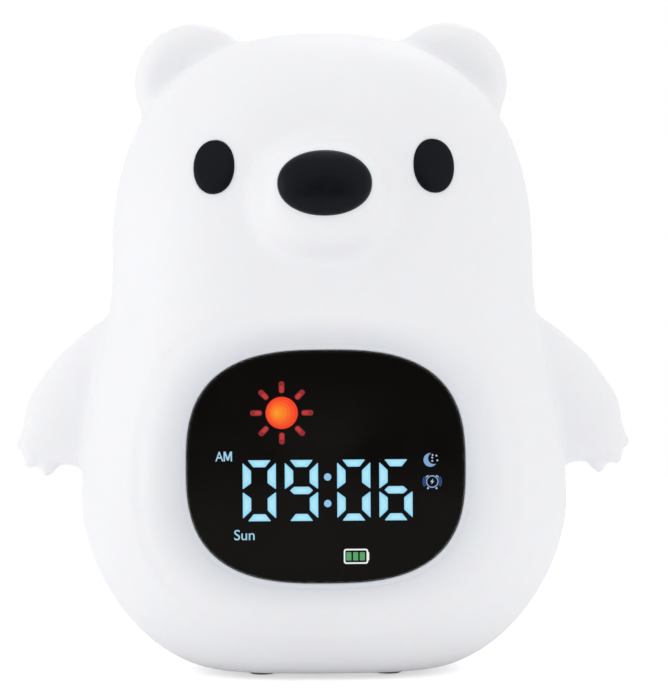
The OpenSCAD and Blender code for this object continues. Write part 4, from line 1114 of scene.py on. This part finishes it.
def crescent(r, cut_r, x, y):
    """Outline of a disc of radius r without a disc of radius cut_r about x and y."""
    away = math.hypot(x, y)
    lean = math.degrees(math.atan2(y, x))
    outer = math.degrees(math.acos((r * r + away * away - cut_r * cut_r) / (2 * r * away)))
    inner = math.degrees(math.acos((cut_r * cut_r + away * away - r * r) / (2 * cut_r * away)))
    back = arc(cut_r, lean + 180 + inner, lean + 180 - inner, 30, x, y)
    return np.vstack([arc(r, lean + outer, lean + 360 - outer, 40), back[1:-1]])


def make_symbols():
    """The moon with its stars, and the ringing alarm."""
    ice = lit("symbol light", (0.20, 0.37, 0.62))
    deep = lit("symbol glow", (0.05, 0.085, 0.28))
    pale = lit("symbol points", (0.46, 0.57, 0.76))
    moon, alarm = (23.6, 1.4), (24.0, -3.5)
    mark("moon_mark", flat(crescent(1.55, 1.32, 0.80, 0.36)), *moon, ice)
    stars = [(0.51, 1.1), (0.42, 0.52), (0.42, -0.22), (1.37, 0.96), (1.58, -0.11)]
    mark("star_marks", together(*dots(stars, 0.2, 16)), *moon, pale)
    mark("alarm_ring", band(circle(1.42, 48), circle(1.16, 48), 0, THICK), *alarm, ice)
    bolt = flat([(0.16, 0.66), (-0.46, -0.12), (-0.08, -0.1), (-0.2, -0.64), (0.44, 0.14), (0.06, 0.12)])
    feet = dots(((-0.96, -1.5), (0.96, -1.5)), 0.22, 16)
    bells = [flat(bar_outline(0.74, 0.2, side * 1.17, 1.2, side * -36)) for side in (-1, 1)]
    mark("alarm_points", together(bolt, *feet, *bells), *alarm, pale)
    waves = [flat(arc_band(r, 0.2, start, start + 64)) for r in (1.74, 2.08) for start in (-32, 148)]
    mark("alarm_waves", together(*waves), *alarm, deep)


def make_words():
    """The words beside the digits."""
    light = lit("word light", (0.34, 0.62, 0.78))
    points = [(0.5, 0), (0.5, 1), (0.27, 1), (0, 0.36), (-0.27, 1), (-0.5, 1), (-0.5, 0), (-0.33, 0),
              (-0.33, 0.66), (-0.09, 0.08), (0.09, 0.08), (0.33, 0.66), (0.33, 0)]
    letter_m = flat([(x * 1.9 + 0.93, (z - 0.5) * 2.2) for x, z in points[::-1]])
    mark("word_am", together(moved(word("A", 1.8, 2.2), (-0.98, 0, 0)), letter_m), -23.0, 2.5, light)
    mark("word_day", word("Sun", 4.6, 2.35), -18.45, -15.3, light)


def make_gauge():
    """The battery gauge with its three bars."""
    nub = flat([(2.7, 1.15), (2.98, 0.75), (2.98, -0.75), (2.7, -1.15)])
    case = band(rounded(5.5, 3.4, 0.55, 6), rounded(4.8, 2.7, 0.3, 6), 0, THICK)
    mark("gauge_frame", together(case, nub), 6.7, -20.3, lit("gauge frame", (0.86, 0.87, 0.87)))
    bars = [moved(flat(rounded(1.14, 1.86, 0.12, 3)), (x, 0, 0)) for x in (-1.52, 0, 1.52)]
    mark("gauge_bars", together(*bars), 6.62, -20.3, lit("gauge light", (0.095, 0.35, 0.14)))


# ---- Control panel ----

def screw_form(long):
    """A pan-head screw that points along -Z, with the underside of its head at the origin."""
    r = sizes("panel").screw_d / 2
    head = [(0.2, 1.3), (r * 0.5, 1.27), (r * 0.8, 1.1), (r * 0.95, 0.85), (r, 0.55), (r, 0.0), (1.0, -0.02)]
    obj = build("screw", lathe(head + [(1.0, -long + 0.4), (0.7, -long)], 32), placed=False)
    slot = rounded(2.3, 0.5, 0.2, 3)
    slots = [prism(slot @ np.array(turn), 0.7, 2.0) for turn in ([[1, 0], [0, 1]], [[0, 1], [-1, 0]])]
    cut(obj, *slots, placed=False)
    return taken(obj)


def button_places():
    p = sizes("panel")
    upper, low = p.panel_z + p.upper_rise, p.panel_z
    return {"mode": (-p.upper_pitch, upper), "lamp": (0.0, upper), "alarm": (p.upper_pitch, upper),
            "down": (-p.middle_pitch / 2, low), "up": (p.middle_pitch / 2, low)}


def corners(x, y):
    return [(sx * x, sy * y) for sx in (-1, 1) for sy in (-1, 1)]


def rod(r, x, z, y0, y1, n=48):
    """A cylinder along Y."""
    return facing_back(lathe([(r, 0), (r, y1 - y0)], n), y0, z, x)


def make_panel():
    """The control panel, and the screws in its corners."""
    p = sizes("panel")
    face, low, out = p.panel_set, p.panel_z - p.lower_drop, p.panel_set + 2
    plastic = moulded("etched plastic", finish_colour("panel"), rough=0.5, change=0.012, pores=0.28,
                      depth=0.02)
    outline = rounded(p.panel_w, p.panel_h, p.panel_r)
    obj = build("panel_plate", facing_back(prism(outline, -p.panel_t, 0), face, p.panel_z), plastic)
    holes = [rod(p.button_d / 2 + 0.1, x, z, face - 5, out) for x, z in button_places().values()]
    across, up = p.panel_w / 2 - p.corner_in, p.panel_h / 2 - p.corner_in
    screw_places = [(x, p.panel_z + z) for x, z in corners(across, up)]
    for x, z in screw_places:
        holes.append(rod(SCREW_HOLE, x, z, face - 5, out, 24))
        holes.append(rod(p.screw_d / 2 + HEAD_ROOM, x, z, face - HEAD_SINK, out, 40))
    for slot, x in ((rounded(9.34, 3.66, 1.82), USB_X), (rounded(5.1, 2.1, 0.2, 3), LEVER_X - 1.3)):
        holes.append(facing_back(prism(slot, -5, 2), face, low, x))
    cut(obj, *holes)
    bevel(obj, 0.22)
    # The posts behind the panel that carry the main board
    stands = [rod(1.8, x, p.panel_z + z, 30.65, face - p.panel_t + 0.3, 32)
              for x, z in ((-6.5, 14.4), (6.5, 14.4), (-17.2, -13.6), (17.2, -13.6))]
    cut(obj, *stands, union=True)
    soften(obj.data, 32)
    give(obj, replaced=["rear_panel"])
    steel = moulded("plated steel", (0.62, 0.62, 0.64), rough=0.3, change=0.06, pores=0.6, depth=0.004,
                    Metallic=1.0)
    head = facing_back(screw_form(6), 0, 0)
    places = [(x, face - HEAD_SINK, z) for x, z in screw_places]
    screws = repeated("panel_screws", head, places, (0, 1, 0), math.pi, 3, steel)
    give(screws, replaced=["rear_screws"])


def icon_forms():
    """Flat forms of the buttons' raised icons, read from behind."""
    def raised(outline):
        return flat(outline, ICON_T)

    def bar(w, h, r, x, y):
        return raised(rounded(w, h, r, 3) + (x, y))

    dial = together(band(circle(1.9, 40), circle(1.6, 40), 0, ICON_T), bar(0.3, 1.3, 0.14, 0, 0.5),
                    bar(1.1, 0.3, 0.14, 0.42, -0.02))
    bulb = together(band(circle(1.35, 40, 0, 0.5), circle(1.05, 40, 0, 0.5), 0, ICON_T),
                    bar(1.1, 0.28, 0.13, 0, -1.25), bar(0.8, 0.28, 0.13, 0, -1.72))
    side = [(1.55, -1.05), (1.2, -0.65), (1.1, 0.3), (0.85, 0.95), (0.35, 1.35)]
    bell = together(raised(side + [(-x, y) for x, y in side[::-1]]), raised(circle(0.34, 20, 0, -1.5)),
                    raised(circle(0.24, 16, 0, 1.62)))
    minus = raised(rounded(2.9, 0.5, 0.24, 4))
    a, b = 0.25, 1.45
    arm = np.array([(a, a), (a, b), (-a, b)])
    quarter = np.array([[0, 1], [-1, 0]])
    plus = raised(np.vstack([arm @ np.linalg.matrix_power(quarter, k) for k in range(4)]))
    return {"mode": dial, "lamp": bulb, "alarm": bell, "down": minus, "up": plus}


def make_buttons():
    """The push buttons, each with an icon, on the bodies of their joints."""
    p = sizes("panel")
    rubber = moulded("button rubber", finish_colour("button"), rough=0.6, change=0.02, pores=0.22,
                     depth=0.015)
    ink = moulded("icon ink", (0.12, 0.13, 0.15), rough=0.5, change=0.1, pores=0.4, depth=0.004)
    r, top = p.button_d / 2, p.button_proud
    back = -p.panel_t - 0.05
    q = np.linspace(0, math.pi / 2, 7)
    profile = [(1.7, back - 1.8), (1.7, back - 1), (r + 0.7, back - 1), (r + 0.7, back), (r, back)]
    profile += [(r - 0.7 + 0.7 * math.cos(a), top - 0.7 + 0.7 * math.sin(a)) for a in q]
    profile += [(r * 0.5, top)]
    icons = icon_forms()
    for name, (x, z) in button_places().items():
        cap = build(name + "_cap", facing_back(lathe(profile, 56), p.panel_set, z, x), rubber)
        give(cap, name + "_key", [name + "_button"])
        icon = build(name + "_icon", facing_back(icons[name], p.panel_set + top - 0.04, z, x), ink)
        give(icon, name + "_key")


def make_panel_marks():
    """The words beside the switch and a plug sign by the socket."""
    p = sizes("panel")
    ink = moulded("panel ink", (0.16, 0.17, 0.19), rough=0.55, change=0.08, pores=0.4, depth=0.003)
    face, low = p.panel_set, p.panel_z - p.lower_drop
    bolt = [(0.25, 1.15), (-0.75, -0.15), (-0.1, -0.08), (-0.3, -1.1), (0.75, 0.25), (0.1, 0.18)]
    signs = [(word("ON", 2.3, 1.35), LEVER_X + 0.1, low - 3.1),
             (word("OFF", 3.1, 1.35), LEVER_X - 3.2, low - 3.1), (flat(bolt), USB_X, low - 3.2)]
    forms = [facing_back(form, face - 0.01, z, x) for form, x, z in signs]
    give(build("panel_words", together(*forms), ink))


# ---- Sole ----

def make_sole():
    """The base plate with its sound slots, its four screws and its four feet."""
    b, p, s = sizes("body"), sizes("panel"), sizes("sole")
    plastic = moulded("sole plastic", finish_colour("panel"), rough=0.55, change=0.015, pores=0.35,
                      depth=0.03)
    outline = oval(s.plate_w, s.plate_d, b.section_power, 96)
    obj = build("sole_plate", prism(outline, b.base_z, b.base_z + SOLE_T), plastic)
    holes = []
    for y in s.slot_pitch * np.arange(-2, 3):
        half = math.sqrt((s.speaker_d / 2 - 2.5) ** 2 - y * y)
        holes.append(prism(rounded(2 * half, s.slot_w, s.slot_w / 2 - 0.01, 6) + (0, y), -1, 8))
    feet = corners(s.foot_x, s.foot_y)
    rounds = [(feet, s.foot_d / 2 + 0.05, 40, b.base_z + 1), (SOLE_SCREWS, SCREW_HOLE, 24, 8),
              (SOLE_SCREWS, p.screw_d / 2 + HEAD_ROOM, 40, b.base_z + HEAD_SINK)]
    holes += [prism(circle(r, n, x, y), -1, top) for places, r, n, top in rounds for x, y in places]
    cut(obj, *holes)
    bevel(obj, 0.2)
    soften(obj.data, 32)
    give(obj, replaced=["base_plate"])
    rubber = moulded("foot rubber", (0.23, 0.23, 0.24), rough=0.75, change=0.08, pores=0.3, depth=0.03)
    r = s.foot_d / 2
    pad = lathe([(r * 0.5, 0), (r - 0.45, 0), (r - 0.13, 0.13), (r, 0.45), (r, b.base_z + 1)], 40)
    give(repeated("sole_feet", pad, [(x, y, 0) for x, y in feet], (0, 0, 1), FULL_TURN, 5, rubber),
         replaced=["feet"])
    steel = moulded("sole screw steel", (0.60, 0.60, 0.62), rough=0.32, change=0.06, pores=0.6, depth=0.004,
                    Metallic=1.0)
    points, faces = screw_form(4.8)
    places = [(x, y, b.base_z + HEAD_SINK) for x, y in SOLE_SCREWS]
    down = (points * (1, -1, -1), faces)
    give(repeated("sole_screws", down, places, (0, 0, 1), FULL_TURN, 7, steel),
         replaced=["base_screws"])


# ---- Pieces of the frame that stay ----

METAL = {"Metallic": 1.0}

# Each finish inside: colour, roughness, change of colour, size and height of the grain, what else it sets,
# and the pieces that have it
INNER_FINISHES = [
    ("milky core", (0.82, 0.83, 0.85), 0.5, 0.02, 0.6, 0.01, {}, "core_front core_rear"),
    ("light box", (0.84, 0.84, 0.82), 0.6, 0.02, 0.5, 0.01, {}, "display_reflector lamp_tower display_film"),
    ("solder mask", (0.012, 0.13, 0.06), 0.35, 0.12, 0.8, 0.01, {"clouds": 3.0}, "display_board main_board"),
    ("white mask", (0.78, 0.78, 0.76), 0.4, 0.03, 0.8, 0.01, {}, "lamp_board"),
    ("bright steel", (0.66, 0.66, 0.68), 0.28, 0.05, 0.5, 0.004, METAL,
     "display_screws core_screws board_screws lamp_screws strap_screws usb_socket power_switch "
     "speaker_magnet"),
    ("dark plastic", (0.02, 0.02, 0.022), 0.42, 0.15, 0.3, 0.012, {},
     "mode_stem lamp_stem alarm_stem down_stem up_stem usb_tongue power_lever board_chips speaker_lead "
     "speaker_basket"),
    ("grey plastic", (0.12, 0.12, 0.13), 0.5, 0.1, 0.3, 0.015, {}, "tact_switches battery_straps"),
    ("foam", (0.02, 0.02, 0.02), 0.9, 0.3, 0.25, 0.08, {}, "lens_gasket"),
    ("clear resin", (0.80, 0.74, 0.42), 0.2, 0.05, 0.6, 0.004, {}, "display_leds lamp_leds"),
    ("shrink wrap", (0.05, 0.11, 0.30), 0.25, 0.08, 1.2, 0.01, {}, "battery"),
    ("cone paper", (0.015, 0.015, 0.015), 0.8, 0.3, 0.2, 0.04, {}, "speaker_cone"),
    ("gilt wire", (0.70, 0.50, 0.20), 0.3, 0.08, 0.4, 0.003, METAL, "touch_spring"),
    ("flexible film", (0.45, 0.22, 0.06), 0.35, 0.08, 0.9, 0.005, {}, "display_ribbon"),
    ("red insulation", (0.36, 0.01, 0.01), 0.5, 0.08, 0.4, 0.01, {}, "lamp_lead battery_lead"),
]


def dress_frame():
    """Gives the solids that stay, most of them inside, their own finishes."""
    for *look, more, names in INNER_FINISHES:
        material = moulded(*look, **more)
        for name in names.split():
            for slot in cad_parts[name].material_slots:
                slot.material = material


# ---- Stage ----

def make_floor(scene):
    """A pale round floor that glows a little, and more so towards the camera."""
    mesh = bpy.data.meshes.new("floor")
    rim = circle(scene.clock_stage.floor_r, 96)
    mesh.from_pydata([(x, y, 0) for x, y in rim.tolist()], [], [list(range(96))])
    material, tree, shader = new_finish("pale floor")
    tree.links.new(tinted(tree, grain(tree, 40.0), (0.93, 0.93, 0.935), 0.004), shader.inputs["Base Color"])
    seen = wire(tree, "ShaderNodeLightPath").outputs["Is Camera Ray"]
    tree.links.new(calc(tree, "MULTIPLY_ADD", seen, 0.45, 0.07), shader.inputs["Emission Strength"])
    set_sockets(shader, Roughness=0.8, Specular_IOR_Level=0.1, Emission_Color=(1, 1, 1, 1))
    mesh.materials.append(material)
    linked("floor", mesh)


def make_world(scene):
    """Even white surroundings, with a darker place where a photographer would stand."""
    full = scene.clock_stage.world_level
    world = bpy.data.worlds.new("studio")
    scene.world = world
    world.use_nodes = True
    tree = world.node_tree
    tree.nodes.clear()
    way = wire(tree, "ShaderNodeTexCoord").outputs["Generated"]
    toward = wire(tree, "ShaderNodeVectorMath", {"operation": "DOT_PRODUCT"})
    tree.links.new(way, toward.inputs[0])
    toward.inputs[1].default_value = (0, -1, 0)
    level = wire(tree, "ShaderNodeMapRange", {"interpolation_type": "SMOOTHSTEP"},
                 value=toward.outputs["Value"], from_min=0.78, from_max=0.985, to_min=full, to_max=0.02)
    path = wire(tree, "ShaderNodeLightPath")
    mirrored = wire(tree, "ShaderNodeMix", {"data_type": "FLOAT"}, factor=path.outputs["Is Glossy Ray"],
                    a=full, b=level.outputs["Result"])
    strength = wire(tree, "ShaderNodeMix", {"data_type": "FLOAT"}, factor=path.outputs["Is Camera Ray"],
                    a=picked(mirrored), b=1.0)
    shade = wire(tree, "ShaderNodeBackground", color=(1, 1, 1, 1), strength=picked(strength))
    output = tree.nodes.new("ShaderNodeOutputWorld")
    tree.links.new(shade.outputs["Background"], output.inputs["Surface"])


def make_lights(scene):
    """Round soft lamps, each with its place, the point it is aimed at, its diameter and its power."""
    level = scene.clock_stage.key_level
    clock = (0, 0, 0.07)
    lamps = [("left", (-1.1, -0.25, 0.2), clock, 0.8, level),
             ("right", (1.1, -0.2, 0.2), clock, 0.8, level * 0.3),
             ("back", (0.2, 0.9, 0.9), clock, 0.6, level * 0.6),
             ("top", (0, 0, 1.2), clock, 0.6, level * 0.4),
             ("low", (0, -0.9, 0.03), (0, 0, 0.02), 0.1, level * 0.014)]
    for name, place, target, size, power in lamps:
        data = bpy.data.lights.new(name, "AREA")
        data.shape = "DISK"
        data.size = size
        data.energy = power
        lamp = linked(name, data)
        lamp.location = place
        lamp.rotation_euler = (Vector(target) - Vector(place)).to_track_quat("-Z", "Y").to_euler()


def make_camera(scene):
    """A long lens that looks at the clock from a little above the table."""
    st = scene.clock_stage
    data = bpy.data.cameras.new("camera")
    data.lens = st.focal
    data.sensor_width = 36
    # The clock stands 11 pixels left of the middle of a picture that is 696 high
    data.shift_x = 11 / 696
    data.clip_start = 0.05
    camera = linked("camera", data)
    level = math.cos(st.elevation)
    away = Vector((math.sin(st.azimuth) * level, -math.cos(st.azimuth) * level, math.sin(st.elevation)))
    camera.location = Vector((0, 0, st.target_z)) + away * st.distance
    camera.rotation_euler = ((-away).to_track_quat("-Z", "Y").to_matrix()
                             @ Matrix.Rotation(st.roll, 3, "Z")).to_euler()
    scene.camera = camera


def make_stage(scene):
    scene.view_settings.view_transform = "Standard"
    make_floor(scene)
    make_world(scene)
    make_lights(scene)
    make_camera(scene)


# ---- Operators and panel ----

class CLOCK_OT_skin(bpy.types.Operator):
    """Builds the soft skin over the frame"""
    bl_idname = "clock.skin"
    bl_label = "Skin"

    def execute(self, context):
        make_skin()
        return {"FINISHED"}


class CLOCK_OT_face(bpy.types.Operator):
    """Builds the eyes and the nose"""
    bl_idname = "clock.face"
    bl_label = "Face"

    def execute(self, context):
        make_face()
        return {"FINISHED"}


class CLOCK_OT_window(bpy.types.Operator):
    """Builds the display window"""
    bl_idname = "clock.window"
    bl_label = "Window"

    def execute(self, context):
        make_window()
        return {"FINISHED"}


class CLOCK_OT_marks(bpy.types.Operator):
    """Builds the lit digits, words and signs of the display"""
    bl_idname = "clock.marks"
    bl_label = "Display marks"

    def execute(self, context):
        make_digits()
        make_sun()
        make_symbols()
        make_words()
        make_gauge()
        return {"FINISHED"}


class CLOCK_OT_panel(bpy.types.Operator):
    """Builds the control panel with its screws and printed words"""
    bl_idname = "clock.panel"
    bl_label = "Control panel"

    def execute(self, context):
        make_panel()
        make_panel_marks()
        return {"FINISHED"}


class CLOCK_OT_buttons(bpy.types.Operator):
    """Builds the push buttons and their icons"""
    bl_idname = "clock.buttons"
    bl_label = "Buttons"

    def execute(self, context):
        make_buttons()
        return {"FINISHED"}


class CLOCK_OT_sole(bpy.types.Operator):
    """Builds the base plate, its screws and the feet"""
    bl_idname = "clock.sole"
    bl_label = "Sole"

    def execute(self, context):
        make_sole()
        return {"FINISHED"}


class CLOCK_OT_inside(bpy.types.Operator):
    """Gives the pieces inside their finishes"""
    bl_idname = "clock.inside"
    bl_label = "Inside"

    def execute(self, context):
        dress_frame()
        return {"FINISHED"}


class CLOCK_OT_stage(bpy.types.Operator):
    """Builds the floor, the lights and the camera"""
    bl_idname = "clock.stage"
    bl_label = "Stage"

    def execute(self, context):
        make_stage(context.scene)
        return {"FINISHED"}


OPERATORS = [CLOCK_OT_skin, CLOCK_OT_face, CLOCK_OT_window, CLOCK_OT_marks, CLOCK_OT_panel, CLOCK_OT_buttons,
             CLOCK_OT_sole, CLOCK_OT_inside, CLOCK_OT_stage]


class CLOCK_PT_pieces(bpy.types.Panel):
    """Lists the steps that build the clock"""
    bl_label = "Alarm clock"
    bl_idname = "CLOCK_PT_pieces"
    bl_space_type = "VIEW_3D"
    bl_region_type = "UI"
    bl_category = "Alarm clock"

    def draw(self, context):
        for operator in OPERATORS:
            self.layout.operator(operator.bl_idname)
        for name, group in GROUPS.items():
            box = self.layout.box()
            box.label(text=group.__name__)
            for field in group.__annotations__:
                box.prop(getattr(context.scene, name), field)


CLASSES = [*GROUPS.values(), *OPERATORS, CLOCK_PT_pieces]


def register():
    for item in CLASSES:
        bpy.utils.register_class(item)
    for name, group in GROUPS.items():
        setattr(bpy.types.Scene, name, PointerProperty(type=group))


def unregister():
    for name in GROUPS:
        delattr(bpy.types.Scene, name)
    for item in reversed(CLASSES):
        bpy.utils.unregister_class(item)


def main():
    register()
    for operator in OPERATORS:
        group, step = operator.bl_idname.split(".")
        getattr(getattr(bpy.ops, group), step)()


if __name__ == "__main__":
    main()
